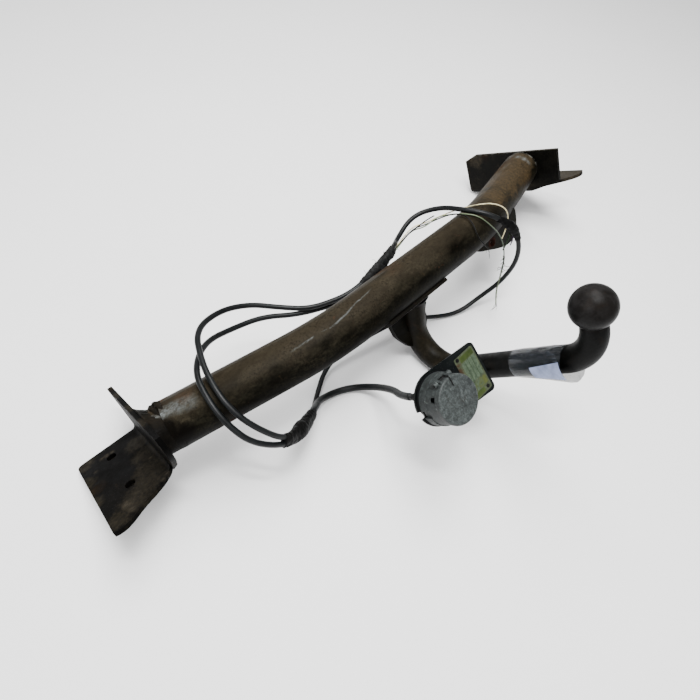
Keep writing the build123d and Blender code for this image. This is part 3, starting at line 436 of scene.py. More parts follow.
    # bare steel where paint is worn off, and on the beam's left end a painted highlight band in the bare colour
    if bare_and_sheen:
        bm = None
        for point, size, share in bare_and_sheen:
            d = t.step(t.far(point), size * 0.1, size, share, 0.0)
            bm = d if bm is None else t.op("MAXIMUM", bm, d)
        patchy = t.noise(230.0, 7, 0.75, 0.3, vec=t.at(loc=(0.7, 3.3, 0.1), scale=(1, 0.5, 1)))
        bm = t.op("MULTIPLY", bm, t.step(patchy, 0.42, 0.60, 0.22, 1.0))
        col = t.mix(bm, col, lin(bare_and_sheen_col))
    rough = t.op("ADD", t.step(mid_n, 0.3, 0.7, gloss - 0.09, gloss + 0.16), t.op("MULTIPLY", rm, 0.3))
    if shine:
        for point, size in shine:
            d = t.op("MULTIPLY", t.step(t.far(point), size * 0.55, size, 1.0, 0.0), t.step(mid_n, 0.36, 0.52))
            rough = t.op("SUBTRACT", rough, t.op("MULTIPLY", d, 0.2))
    h = t.op("ADD", t.op("MULTIPLY", mid_n, 0.5), t.op("MULTIPLY", fine, 0.22))
    h = t.op("ADD", h, t.op("MULTIPLY", rm, t.op("MULTIPLY", r2, 0.7)))
    h = t.op("SUBTRACT", h, t.op("MULTIPLY", pm, 0.5 * pits))
    n = t.bump(h, 0.0009, 0.75)
    return t.set(color=col, rough=rough, normal=n, spec=spec)

M = {}
M["beam"] = old_paint("beam_old_paint", (18, 16, 11), (53, 50, 38), (90, 84, 68), rust=(86, 58, 40), rust_share=0.24,
                      gloss=0.44, stretch=(1, 0.4, 1), painted_top_light=0.42, bright=(106, 96, 79), low=0.05, spec=0.02, grit=0.5, blots=0.75,
                      # the worn line here also paints a highlight streak along the top of the bar
                      black=0.6, scratch_and_highlight=(17.0, 28.0, -218.0, -92.0, 1.3),
                      # the first eight spots paint a silver highlight band along the top of the tube's left end; the
                      # last three are worn chips at the right end
                      bare_and_sheen=[(tuple(rp(-48.8, -386.9, 27.3)), 0.008, 0.95), (tuple(rp(-47.3, -382.5, 27.3)), 0.008, 0.9),
                            (tuple(rp(-45.9, -376.5, 27.5)), 0.009, 0.8), (tuple(rp(-44.5, -370.6, 27.6)), 0.010, 0.62),
                            (tuple(rp(-42.3, -363.8, 27.5)), 0.011, 0.5), (tuple(rp(-39.2, -357.6, 26.8)), 0.012, 0.42),
                            (tuple(rp(-36.2, -351.5, 26.1)), 0.012, 0.36), (tuple(rp(-34.0, -344.6, 25.9)), 0.012, 0.3),
                            (tuple(rp(-51.3, 366.5, 30.8)), 0.009, 0.5), (tuple(rp(-40.8, 368.0, 26.1)), 0.010, 0.7),
                            (tuple(rp(-34.2, 368.9, 20.0)), 0.008, 0.5)],
                      bare_and_sheen_col=(164, 168, 168), sooty=[(tuple(rp(-33.2, -382.6, 10.7)), 0.022), (tuple(rp(-31.5, -380.0, -6.0)), 0.024), (tuple(rp(-43.1, -375.4, -25.9)), 0.026),
                             (tuple(rp(-27.0, -368.0, 0.0)), 0.016), (tuple(rp(-38.2, -386.5, 18.0)), 0.014)],
                      dusty=[(tuple(rp(3, 208, 27)), 0.03), (tuple(rp(-15, 262, 27)), 0.05), (tuple(rp(-26, 302, 27)), 0.05),
                             (tuple(rp(-30, 335, 24)), 0.045), (tuple(rp(-45, 365, 24)), 0.035)], dusty_col=(102, 87, 62),
                      rust_spots=[(tuple(rp(-48, 330, 26)), 0.05), (tuple(rp(-67, -372, 31)), 0.016), (tuple(rp(-47, -345, 31)), 0.014),
                                  (tuple(rp(-10, -40, 20)), 0.03)],
                      shine=[(tuple(rp(-46, -352, 22)), 0.055)])
M["bracket"] = old_paint("bracket_old_paint", (5, 5, 5), (12, 11, 10), (28, 25, 21), rust=(52, 42, 32), rust_share=0.14,
                         gloss=0.5, stretch=(1, 1, 1), painted_top_light=0.0, low=0.4, spec=0.02, grit=0.55, blots=0.4, bright=(46, 38, 30), black=0.6,
                         rust_spots=[(tuple(rp(-187, -396, 26)), 0.024), (tuple(rp(-120, -484, -43)), 0.02)],
                         dusty=[(tuple(rp(-150, -412, -43)), 0.022), (tuple(rp(-115, -414, -43)), 0.026), (tuple(rp(-80, -418, -43)), 0.032),
                                (tuple(rp(-56, -432, -43)), 0.030), (tuple(rp(-46, -456, -43)), 0.026), (tuple(rp(-36, -474, -43)), 0.022),
                                (tuple(rp(-185, -478, -43)), 0.022), (tuple(rp(-140, -486, -43)), 0.018), (tuple(rp(-90, -486, -43)), 0.016),
                                (tuple(rp(-150, -400, 32)), 0.014), (tuple(rp(-100, -400, 32)), 0.014), (tuple(rp(-50, -400, 32)), 0.016),
                                (tuple(rp(-185, -400, 30)), 0.016), (tuple(rp(-20, -398, 10)), 0.020), (tuple(rp(-30, -398, -26)), 0.018)],
                         dusty_col=(60, 54, 42),
                         bare_and_sheen=[(tuple(rp(-170.5, -456.3, -43.0)), 0.005, 0.50),
                               (tuple(rp(-170.9, -450.5, -43.0)), 0.006, 0.55),
                               (tuple(rp(-170.3, -442.1, -43.0)), 0.005, 0.40),
                               (tuple(rp(-48.7, -459.4, -43.0)), 0.009, 0.60),
                               (tuple(rp(-35.9, -458.8, -43.0)), 0.006, 0.45),
                               (tuple(rp(-49.8, -408.3, -43.0)), 0.007, 0.60),
                               (tuple(rp(-45.0, -415.7, -43.0)), 0.005, 0.45),
                               (tuple(rp(-183.0, -469.8, -43.0)), 0.004, 0.40),
                               (tuple(rp(-151.6, -469.9, -43.0)), 0.004, 0.40),
                               (tuple(rp(-100.0, -411.8, -43.0)), 0.004, 0.40)], bare_and_sheen_col=(118, 110, 96))
M["bracket_r"] = old_paint("right_bracket_old_paint", (10, 10, 8), (24, 23, 19), (46, 43, 35), rust=(64, 48, 34), rust_share=0.2,
                           gloss=0.45, stretch=(1, 1, 1), painted_top_light=0.75, bright=(92, 86, 74), low=0.5, spec=0.04, grit=0.6, blots=0.5,
                           rust_spots=[(tuple(rp(-187, 400, 20)), 0.018), (tuple(rp(-150, 392, 28)), 0.02)],
                           dusty=[(tuple(rp(-40, 478, -43)), 0.03), (tuple(rp(-10, 462, -43)), 0.03), (tuple(rp(-90, 470, -43)), 0.03),
                                  (tuple(rp(-165, 394, 20)), 0.022), (tuple(rp(-70, 394, -30)), 0.03)], dusty_col=(88, 80, 66),
                           bare_and_sheen=[(tuple(rp(-168, 395, 30)), 0.007, 0.6), (tuple(rp(-153, 395, 32)), 0.006, 0.7),
                                 (tuple(rp(-139, 395, 32)), 0.006, 0.5), (tuple(rp(-125, 395, 32)), 0.005, 0.4)])
M["lug"] = old_paint("lug_old_paint", (10, 10, 7), (24, 23, 16), (44, 42, 31), rust=(88, 34, 20), rust_share=0.15,
                     gloss=0.45, stretch=(1, 1, 1), rust_spots=[(tuple(rp(6, 176, -37)), 0.012)], low=0.5, spec=0.04)
M["saddle"] = old_paint("saddle_old_paint", (14, 12, 8), (34, 30, 21), (68, 61, 46), rust=(74, 52, 34), rust_share=0.25,
                        gloss=0.42, stretch=(1, 0.6, 1), low=0.25, spec=0.05, grit=0.55, blots=0.6)
M["gusset"] = old_paint("gusset_old_paint", (10, 9, 6), (22, 20, 13), (48, 43, 32), rust=(66, 46, 28), rust_share=0.3,
                        gloss=0.45, low=0.5, spec=0.06)
M["plate"] = old_paint("mounting_plate_paint", (8, 11, 11), (18, 23, 23), (36, 42, 41), rust=(60, 44, 32), rust_share=0.05,
                       gloss=0.42, low=0.7, spec=0.10)


def forging():
    t = Tree("neck_forging")
    big = t.noise(16.0, 6, 0.6, 0.4)
    mid = t.noise(70.0, 6, 0.65, 0.2)
    fine = t.noise(420.0, 3, 0.6)
    g = t.op("ADD", t.op("MULTIPLY", big, 0.5), t.op("MULTIPLY", mid, 0.5))
    bar = t.ramp(g, (0.36, lin((16, 13, 8))), (0.5, lin((44, 39, 27))), (0.66, lin((72, 64, 48))))
    # the length before the ball is darker and greasy
    along = t.dot(tuple(rd(1, 0, 0)))
    front = t.step(t.op("ADD", along, t.op("MULTIPLY", big, 0.03)), 0.075, 0.125)
    grease = t.ramp(g, (0.35, lin((8, 8, 7))), (0.52, lin((19, 20, 19))), (0.68, lin((40, 41, 41))))
    col = t.mix(front, bar, grease)
    ball = t.step(t.far(tuple(rp(253.6, 0, -3.9))), 0.026, 0.029, 1.0, 0.0)
    smear = t.noise(34.0, 5, 0.6, 1.2)
    ballc = t.ramp(smear, (0.32, lin((20, 16, 13))), (0.5, lin((34, 31, 29))), (0.7, lin((62, 60, 60))))
    col = t.mix(ball, col, ballc)
    rust = t.step(t.noise(24.0, 7, 0.7, 0.5, vec=t.at(loc=(2, 5, 1))), 0.56, 0.63)
    col = t.mix(t.op("MULTIPLY", rust, t.op("SUBTRACT", 0.75, t.op("MULTIPLY", front, 0.62))), col, lin((70, 52, 36)))
    col = t.mix(1.0, col, t.ramp(t.step(fine, 0.3, 0.75, 0.72, 1.15), (0.0, 0.0), (1.0, 1.0)), "MULTIPLY")
    # painted shade: faces that turn down are darkened
    col = t.shade(col, 0.14, -0.6, 0.5)
    rough = t.op("ADD", t.step(mid, 0.3, 0.7, 0.36, 0.56), t.op("MULTIPLY", ball, -0.06))
    h = t.op("ADD", t.op("MULTIPLY", mid, 0.6), t.op("MULTIPLY", fine, 0.25))
    h = t.op("MULTIPLY", h, t.op("SUBTRACT", 1.0, t.op("MULTIPLY", ball, 0.7)))
    return t.set(color=col, rough=rough, spec=0.06, normal=t.bump(h, 0.0009, 0.8))


M["forging"] = forging()


def weld_mat():
    t = Tree("weld_metal")
    a = t.noise(60.0, 6, 0.65)
    b = t.noise(380.0, 4, 0.6)
    col = t.ramp(a, (0.32, lin((10, 9, 7))), (0.5, lin((26, 23, 17))), (0.68, lin((52, 45, 35))))
    specks = t.step(t.noise(190.0, 5, 0.65, 0.3, vec=t.at(loc=(3, 1, 2))), 0.49, 0.57)
    spot = t.step(t.far(tuple(rp(-46, 384, 26))), 0.020, 0.040, 1.0, 0.0)
    col = t.mix(t.op("MULTIPLY", specks, t.op("MULTIPLY", spot, 0.8)), col, lin((150, 148, 142)))
    soot = t.step(t.far(tuple(rp(-36, -388, -4))), 0.022, 0.038, 0.8, 0.0)
    col = t.mix(t.op("MULTIPLY", soot, t.step(a, 0.34, 0.60, 1.0, 0.55)), col, lin((11, 9, 7)))
    # painted shade: the colour is darkened on faces that turn down
    return t.set(color=t.shade(col, 0.5), spec=0.05, rough=t.step(a, 0.3, 0.7, 0.5, 0.8),
                 normal=t.bump(t.op("ADD", a, t.op("MULTIPLY", b, 0.5)), 0.0007, 0.8))


M["weld"] = weld_mat()


def casting():
    t = Tree("socket_casting")
    big = t.noise(26.0, 5, 0.6, 0.3)
    mid = t.noise(240.0, 6, 0.7, 0.2)
    fine = t.noise(900.0, 3, 0.6)
    g = t.op("ADD", t.op("MULTIPLY", big, 0.25), t.op("MULTIPLY", mid, 0.75))
    col = t.ramp(g, (0.33, lin((52, 57, 56))), (0.48, lin((86, 92, 91))), (0.66, lin((126, 133, 132))))
    dirt = t.step(t.noise(60.0, 7, 0.7, 0.6, vec=t.at(loc=(0, 1, 2))), 0.57, 0.68)
    col = t.mix(t.op("MULTIPLY", dirt, 0.55), col, lin((70, 66, 58)))
    # painted shade: faces turned away from the socket's front are darkened toward a darker grey
    low = t.step(t.facing(tuple(rd(*SN))), 0.0, 0.75, 0.5, 0.0)
    col = t.mix(low, col, lin((58, 62, 62)))
    grain = t.step(fine, 0.32, 0.72, 0.55, 1.32)
    col = t.mix(1.0, col, t.ramp(grain, (0.0, 0.0), (1.0, 1.0)), "MULTIPLY")
    # painted shade: faces that turn down are darkened
    col = t.shade(col, 0.45, -0.6, 0.3)
    scratch_and_highlight = t.step(t.noise(60.0, 2, 0.5, vec=t.at(rot=(0.4, 0.2, 0.9), scale=(0.6, 14, 3))), 0.68, 0.71)
    col = t.mix(t.op("MULTIPLY", scratch_and_highlight, 0.3), col, lin((176, 182, 180)))
    return t.set(color=col, metal=0.0, spec=0.2, rough=t.step(mid, 0.3, 0.7, 0.42, 0.66),
                 normal=t.bump(t.op("ADD", t.op("MULTIPLY", mid, 0.7), t.op("MULTIPLY", fine, 0.35)), 0.0005, 0.6))


M["casting"] = casting()


def rating():
    """Plain coloured fields of a rating plate."""
    t = Tree("rating_plate_print")
    y = t.op("MULTIPLY", t.dot(ALONG), 1000.0)
    v = t.op("MULTIPLY", t.dot(tuple(rd(*SV))), 1000.0)
    v = t.op("SUBTRACT", v, 1000.0 * rp(0, 0, 0).dot(rd(*SV)))

    def inside(val, a, b, soft=0.5):
        return t.op("MULTIPLY", t.step(val, a, a + soft), t.step(val, b - soft, b, 1.0, 0.0))

    n1 = t.noise(70.0, 5, 0.6, 0.3)
    n2 = t.noise(260.0, 5, 0.65)
    metal = t.ramp(n2, (0.3, lin((84, 92, 70))), (0.7, lin((120, 128, 104))))
    field = t.ramp(n2, (0.3, lin((84, 98, 80))), (0.7, lin((126, 140, 120))))
    green = t.ramp(n1, (0.3, lin((66, 82, 38))), (0.7, lin((104, 120, 62))))
    dull = t.ramp(n1, (0.3, lin((76, 88, 50))), (0.7, lin((122, 128, 76))))
    col = metal
    col = t.mix(t.op("MULTIPLY", inside(y, -73.0, -46.5), inside(v, -138.5, -108.5)), col, field)
    col = t.mix(t.op("MULTIPLY", inside(y, -72.0, -46.5), inside(v, -107.8, -99.6)), col, green)
    col = t.mix(t.op("MULTIPLY", inside(y, -73.0, -46.5), inside(v, -152.0, -140.0)), col, t.mix(t.step(n1, 0.4, 0.6), field, dull))
    col = t.mix(t.op("MULTIPLY", inside(y, -79.0, -57.0), inside(v, -160.0, -152.6)), col, green)
    for a in (-66.3, -59.8, -53.2):
        col = t.mix(t.op("MULTIPLY", inside(y, a - 0.7, a + 0.5), t.op("MULTIPLY", inside(v, -138.5, -108.5), t.step(n1, 0.36, 0.5, 0.35, 0.95))), col,
                    lin((66, 82, 50)))
    rust = t.op("MULTIPLY", t.step(t.op("ADD", y, t.op("MULTIPLY", t.op("SUBTRACT", n1, 0.5), 26.0)), -75.5, -71.5, 1.0, 0.0),
                t.op("MULTIPLY", inside(v, -128.0, -103.0, 4.0), t.step(n2, 0.38, 0.52)))
    col = t.mix(t.op("MULTIPLY", rust, 0.9), col, lin((84, 54, 34)))
    grime = t.step(t.noise(45.0, 6, 0.7, 0.5, vec=t.at(loc=(4, 4, 4))), 0.52, 0.7)
    col = t.mix(t.op("MULTIPLY", grime, 0.6), col, lin((50, 56, 42)))
    return t.set(color=col, spec=0.15, rough=t.step(n2, 0.3, 0.7, 0.38, 0.6), metal=0.0, normal=t.bump(n2, 0.0002, 0.5))


M["rating"] = rating()


def plain(name, a, b, rough=(0.4, 0.6), scale=90.0, metal=0.0, depth=0.0003, strength=0.5, dust=None, dust_at=(0.55, 0.7),
          dust_scale=40.0, coat=0.0, spec=0.12):
    t = Tree(name)
    n1 = t.noise(scale, 5, 0.6, 0.2)
    n2 = t.noise(scale * 6, 4, 0.6)
    col = t.ramp(n1, (0.32, lin(a)), (0.68, lin(b)))
    if dust:
        d = t.step(t.noise(dust_scale, 6, 0.7, 0.4, vec=t.at(loc=(7, 1, 3))), *dust_at)
        col = t.mix(t.op("MULTIPLY", d, 0.7), col, lin(dust))
    r = t.step(n1, 0.3, 0.7, *rough)
    t.set(metal=metal, coat=coat, spec=spec)
    return t.set(color=col, rough=r, normal=t.bump(t.op("ADD", n1, t.op("MULTIPLY", n2, 0.5)), depth, strength))


M["cable"] = plain("cable_sheath", (8, 11, 12), (19, 24, 26), rough=(0.34, 0.5), scale=120.0, depth=0.0003, strength=0.5,
                   dust=(40, 43, 41), dust_at=(0.62, 0.76), dust_scale=55.0, spec=0.2)
M["tape_black"] = plain("tape_black", (8, 8, 8), (22, 22, 21), rough=(0.36, 0.6), scale=160.0, depth=0.0004, strength=0.8,
                        dust=(36, 34, 30), dust_at=(0.62, 0.76), dust_scale=90.0, spec=0.05)
M["tape_grey"] = plain("tape_grey", (24, 25, 25), (70, 71, 70), rough=(0.5, 0.8), scale=130.0, depth=0.0005, strength=0.9,
                       dust=(18, 18, 17), dust_at=(0.46, 0.56), dust_scale=120.0, spec=0.1)
M["rubber"] = plain("rubber", (7, 8, 9), (18, 20, 21), rough=(0.5, 0.72), scale=110.0, dust=(40, 39, 34), dust_at=(0.62, 0.76),
                    spec=0.08)
M["insert"] = plain("moulded_plastic", (14, 14, 14), (26, 26, 26), rough=(0.45, 0.6), scale=150.0)
M["brass"] = plain("contact_brass", (150, 118, 62), (198, 166, 98), rough=(0.25, 0.45), scale=200.0, metal=1.0, dust=(96, 82, 52))
M["screw"] = plain("screw_steel", (74, 78, 72), (120, 124, 118), rough=(0.35, 0.6), scale=260.0, metal=0.7, dust=(70, 56, 42),
                   dust_at=(0.48, 0.6), dust_scale=200.0)
M["pin"] = plain("pin_steel", (44, 46, 45), (76, 78, 76), rough=(0.3, 0.5), scale=260.0, metal=0.8, dust=(64, 50, 38),
                 dust_scale=180.0)
M["rivet"] = plain("rivet_dark", (10, 10, 9), (32, 32, 28), rough=(0.4, 0.6), scale=300.0, metal=0.0)
M["label"] = plain("label_paper", (168, 175, 192), (197, 202, 215), rough=(0.6, 0.75), scale=60.0, depth=0.0003, strength=0.7,
                   dust=(142, 148, 168), dust_at=(0.6, 0.75), spec=0.3)
M["wire_black"] = plain("wire_black", (10, 10, 9), (26, 26, 24), rough=(0.35, 0.55), scale=300.0, dust=(52, 52, 46),
                        dust_at=(0.62, 0.74))
M["wire_cream"] = plain("wire_cream", (190, 186, 170), (226, 223, 208), rough=(0.35, 0.5), scale=200.0, dust=(124, 116, 90))
M["wire_purple"] = plain("wire_purple", (54, 26, 66), (88, 48, 104), rough=(0.35, 0.5), scale=200.0)
M["wire_green"] = plain("wire_green", (24, 44, 18), (48, 78, 36), rough=(0.35, 0.5), scale=200.0)
M["stray"] = plain("stray_strands", (18, 17, 15), (52, 50, 44), rough=(0.5, 0.7), scale=300.0)
M["stray_pale"] = plain("stray_strands_pale", (92, 92, 90), (168, 168, 164), rough=(0.5, 0.7), scale=300.0)


def two_tone():
    t = Tree("wire_green_white")
    n = t.noise(260.0, 4, 0.6)
    f = t.step(t.op("ADD", t.facing((-0.3, 0.2, 0.93)), t.op("MULTIPLY", t.op("SUBTRACT", n, 0.5), 0.5)), -0.1, 0.15)
    col = t.mix(f, lin((46, 84, 34)), lin((152, 162, 138)))
    return t.set(color=col, rough=t.step(n, 0.3, 0.7, 0.32, 0.5), normal=t.bump(n, 0.0002, 0.5))


M["wire_two"] = two_tone()


def film_mat():
    t = Tree("clear_film")
    n = t.noise(38.0, 5, 0.6, 0.6)
    line = tuple(rd(0.92, 0.0, 0.39))
    v = t.at(rot=(0, math.radians(-20), 0), scale=(0.35, 2.2, 2.2))
    streak = t.noise(60.0, 6, 0.65, 1.4, vec=v)
    haze = t.noise(26.0, 4, 0.6, 0.5)
    first = t.step(t.dot(line), 0.128, 0.150, 1.0, 0.0)
    milky = t.op("ADD", t.step(streak, 0.56, 0.66, 0.0, 0.7), t.op("MULTIPLY", t.step(haze, 0.42, 0.62), t.op("MULTIPLY", first, 0.5)))
    col = t.ramp(milky, (0.0, lin((62, 67, 73))), (1.0, lin((150, 157, 166))))
    t.set(ior=1.45, coat=0.25, spec=0.4)
    t.b.inputs["Coat Roughness"].default_value = 0.1
    return t.set(color=col, rough=t.step(n, 0.3, 0.7, 0.14, 0.3), alpha=t.step(milky, 0.0, 1.0, 0.70, 0.90),
                 normal=t.bump(streak, 0.0008, 0.8))


M["film"] = film_mat()


def floor_mat():
    t = Tree("floor")
    n = t.noise(3.0, 3, 0.5)
    return t.set(color=t.ramp(n, (0.3, (0.93, 0.93, 0.93, 1)), (0.7, (0.95, 0.95, 0.95, 1))), rough=0.9)

# ---------------------------------------------------------------------------
# geometry helpers
# ---------------------------------------------------------------------------
def add_mesh(name, verts, faces, mat, smooth=True):
    me = bpy.data.meshes.new(name)
    me.from_pydata([tuple(v) for v in verts], [], faces)
    me.validate()
    bm = bmesh.new()
    bm.from_mesh(me)
    bmesh.ops.remove_doubles(bm, verts=bm.verts, dist=1e-7)
    bmesh.ops.recalc_face_normals(bm, faces=bm.faces)
    bm.to_mesh(me)
    bm.free()
    for p in me.polygons:
        p.use_smooth = smooth
    ob = bpy.data.objects.new(name, me)
    bpy.context.scene.collection.objects.link(ob)
    me.materials.append(mat)
    return ob


def tangents(line):
    out = []
    for i in range(len(line)):
        a, b = line[max(0, i - 1)], line[min(len(line) - 1, i + 1)]
        out.append((b - a).normalized())
    return out


def frames(line, up=None):
    """Untwisted side vectors along a line."""
    tan = tangents(line)
    n = up or (Vector((0, 0, 1)) if abs(tan[0].z) < 0.9 else Vector((1, 0, 0)))
    out = []
    for t in tan:
        n = (n - t * n.dot(t)).normalized()
        out.append((t, n.copy(), t.cross(n)))
    return out


def tube(name, line, radius, mat, sides=20, up=None, closed=False, caps=True, squash=1.0):
    """Mesh tube on a line; radius is a number or a function of station share and angle."""
    fr = frames(line, up)
    verts, faces = [], []
    n = len(line)
    for i, (t, a, b) in enumerate(fr):
        for k in range(sides):
            ang = 2 * math.pi * k / sides
            r = radius(i / (n - 1), ang) if callable(radius) else radius
            verts.append(line[i] + a * (r * math.cos(ang)) + b * (r * squash * math.sin(ang)))
    last = n if closed else n - 1
    for i in range(last):
        j = (i + 1) % n
        for k in range(sides):
            m = (k + 1) % sides
            faces.append((i * sides + k, i * sides + m, j * sides + m, j * sides + k))
    if caps and not closed:
        faces.append(tuple(range(sides))[::-1])
        faces.append(tuple((n - 1) * sides + k for k in range(sides)))
    return add_mesh(name, verts, faces, mat)


def resample(line, n):
    d = [0.0]
    for a, b in zip(line, line[1:]):
        d.append(d[-1] + (b - a).length)
    out, k = [], 0
    for i in range(n):
        s = d[-1] * i / (n - 1)
        while k < len(line) - 2 and d[k + 1] < s:
            k += 1
        f = (s - d[k]) / max(1e-12, d[k + 1] - d[k])
        out.append(line[k].lerp(line[k + 1], min(1.0, max(0.0, f))))
    return out


def length_of(line):
    return sum((b - a).length for a, b in zip(line, line[1:]))


def nearest(line, p):
    return min(range(len(line)), key=lambda i: (line[i] - p).length_squared)


def noisy(p, scale, seed=0.0):
    return noise.noise(Vector((p.x * scale + seed, p.y * scale - seed, p.z * scale + 2 * seed)))


def bead(name, ring, closed, radius, mat, ripple=0.16, pitch=0.0045, lump=0.25, sides=14, seed=1.0):
    """Weld bead: a rope of overlapping scales with uneven width."""
    total = length_of(ring) + ((ring[0] - ring[-1]).length if closed else 0.0)
    n = max(24, int(total / 0.0009))
    line = resample(ring + ([ring[0]] if closed else []), n + 1)
    if closed:
        line = line[:-1]
    step = total / n

    def r(share, ang):
        i = share * (len(line) - 1)
        s = i * step
        p = line[int(round(i))]
        saw = ((s / pitch + 0.35 * math.cos(ang)) % 1.0)
        return radius * (1 + ripple * (saw - 0.5) + lump * noisy(p, 70.0, seed) + 0.10 * noisy(p, 420.0, seed + ang))

    return tube(name, line, r, mat, sides=sides, closed=closed)


def dress(node, mat, bevel=0.0, segments=2, angle=32.0):
    """A better finish, and broken edges, for a CAD node that stays."""
    o = NODES[node]
    o.data.materials.clear()
    o.data.materials.append(mat)
    if bevel:
        w = o.modifiers.new("weld", "WELD")
        w.merge_threshold = 2e-6
        b = o.modifiers.new("broken_edges", "BEVEL")
        b.width = bevel
        b.segments = segments
        b.limit_method = "ANGLE"
        b.angle_limit = math.radians(angle)
        b.harden_normals = False
        b.use_clamp_overlap = True
        wn = o.modifiers.new("shade", "WEIGHTED_NORMAL")
        wn.keep_sharp = False
        wn.weight = 80
    return o


def strand(rng, start, heading, length, wander, steps=14):
    """A short springy hair of wire from a point."""
    p, d = start.copy(), heading.normalized()
    out = [p.copy()]
    for _ in range(steps):
        d = (d + Vector((rng.uniform(-1, 1), rng.uniform(-1, 1), rng.uniform(-1.2, 0.8))) * wander).normalized()
        p = p + d * (length / steps)
        out.append(p.copy())
    return out


def join_tubes(name, lines, radius, mat, sides=6):
    verts, faces = [], []
    for line in lines:
        base = len(verts)
        fr = frames(line)
        n = len(line)
        for i, (t, a, b) in enumerate(fr):
            r = radius * (1.0 - 0.35 * i / n)
            for k in range(sides):
                ang = 2 * math.pi * k / sides
                verts.append(line[i] + a * (r * math.cos(ang)) + b * (r * math.sin(ang)))
        for i in range(n - 1):
            for k in range(sides):
                m = (k + 1) % sides
                faces.append((base + i * sides + k, base + i * sides + m, base + (i + 1) * sides + m, base + (i + 1) * sides + k))
        faces.append(tuple(base + k for k in range(sides))[::-1])
        faces.append(tuple(base + (n - 1) * sides + k for k in range(sides)))
    return add_mesh(name, verts, faces, mat)

# ---------------------------------------------------------------------------
# cords: finish, what is on them, and what they stand for
# ---------------------------------------------------------------------------
rng = random.Random(11)
for ob, mat, slot_name, node in (
    (cable, M["cable"], "cable_sheath", "main_cable"),
    (w_black, M["wire_black"], "wire_black", "wire_black"),
    (w_green, M["wire_two"], "wire_green_white", "wire_green_white"),
    (w_yellow, M["wire_cream"], "wire_yellow", "wire_yellow"),
    (w_stub, M["wire_black"], "wire_black", "wire_stub"),
):
    ob.data.materials.append(mat)
    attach(ob, "towbar")
    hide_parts(node)


for ob, mat in ((w_purple, M["wire_purple"]), (w_short, M["wire_green"])):
    ob.data.materials.append(mat)
    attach(ob, "towbar")


def paired(i0, i1, j0, j1, n):
    """Middle line and half distance of two turns of the cable that lie together."""
    a0, a1 = nearest(cable_line, rp(*CABLE[i0])), nearest(cable_line, rp(*CABLE[i1]))
    part = resample(cable_line[a0:a1 + 1], n)
    b0, b1 = nearest(cable_line, rp(*CABLE[j0])), nearest(cable_line, rp(*CABLE[j1]))
    other = cable_line[min(b0, b1) - 3:max(b0, b1) + 4]
    other = resample(other, 240)
    mids, seps = [], []
    for p in part:
        q = other[nearest(other, p)]
        mids.append((p + q) / 2)
        seps.append(q - p)
    return mids, seps


def wrap(name, mids, seps, mat, over, pitch, lump, seed, sides=44):
    """Tape wound round two turns of cable: an oval sleeve with spiral steps and creases."""
    verts, faces = [], []
    tan = tangents(mids)
    n = len(mids)
    dist = 0.0
    rows = []
    for i in range(n):
        if i:
            dist += (mids[i] - mids[i - 1]).length
        t = tan[i]
        e1 = seps[i] - t * seps[i].dot(t)
        e1 = e1.normalized() if e1.length > 1e-5 else Vector((0, 0, 1)).cross(t).normalized()
        e2 = t.cross(e1)
        gap = max(0.0, (seps[i] - t * seps[i].dot(t)).length) / 2
        share = i / (n - 1)
        ends = min(1.0, min(share, 1 - share) / 0.10)
        for k in range(sides):
            a = 2 * math.pi * k / sides
            turn = (dist / pitch + a / (2 * math.pi)) % 1.0
            fat = lump(share)
            r = over * (0.35 + 0.65 * ends) + 0.0003 * turn + fat
            p0 = Vector((math.cos(a), math.sin(a), share * 6 + seed))
            r += 0.0010 * noise.noise(p0 * 1.3) + 0.0007 * noise.noise(p0 * 4.1) + 0.0004 * abs(noise.noise(p0 * 9.0))
            x = (gap + CABLE_D / 2 * MM + r) * math.cos(a)
            y = (CABLE_D / 2 * MM + r + 0.25 * gap) * math.sin(a)
            rows.append(mids[i] + e1 * x + e2 * y)
    verts = rows
    for i in range(n - 1):
        for k in range(sides):
            m = (k + 1) % sides
            faces.append((i * sides + k, i * sides + m, (i + 1) * sides + m, (i + 1) * sides + k))
    faces.append(tuple(range(sides))[::-1])
    faces.append(tuple((n - 1) * sides + k for k in range(sides)))
    return add_mesh(name, verts, faces, mat)


def bell(x, c, w):
    return math.exp(-((x - c) / w) ** 2)


mids, seps = paired(6, 8, 39, 41, 90)
front_tape = wrap("front_tape_winding", mids, seps, M["tape_black"], 0.0012, 0.009,
                  lambda s: 0.0026 * bell(s, 0.56, 0.15) + 0.0012 * bell(s, 0.30, 0.2), 1.0)
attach(front_tape, "towbar")
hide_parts("front_tape_wrap")

mids_r, seps_r = paired(20, 22, 52, 54, 90)
rear_tape = wrap("rear_tape_winding", mids_r, seps_r, M["tape_grey"], 0.0010, 0.007,
                 lambda s: 0.0008 * bell(s, 0.5, 0.3), 5.0)
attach(rear_tape, "towbar")
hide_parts("rear_tape_wrap")

# torn ends of the rear tape and of the strands in it
hairs = []
for i in range(18):
    k = rng.randrange(8, len(mids_r) - 4)
    t = tangents(mids_r)[k]
    side = Vector((rng.uniform(-1, 1), rng.uniform(-1, 1), rng.uniform(-0.2, 1.2)))
    side = (side - t * side.dot(t)).normalized()
    start = mids_r[k] + side * 0.0052
    hairs.append(strand(rng, start, side * 0.5 + t * rng.uniform(0.4, 1.4), rng.uniform(0.006, 0.015), 0.28))
tape_frays = join_tubes("rear_tape_frays", hairs, 0.00035, M["stray_pale"])
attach(tape_frays, "towbar")

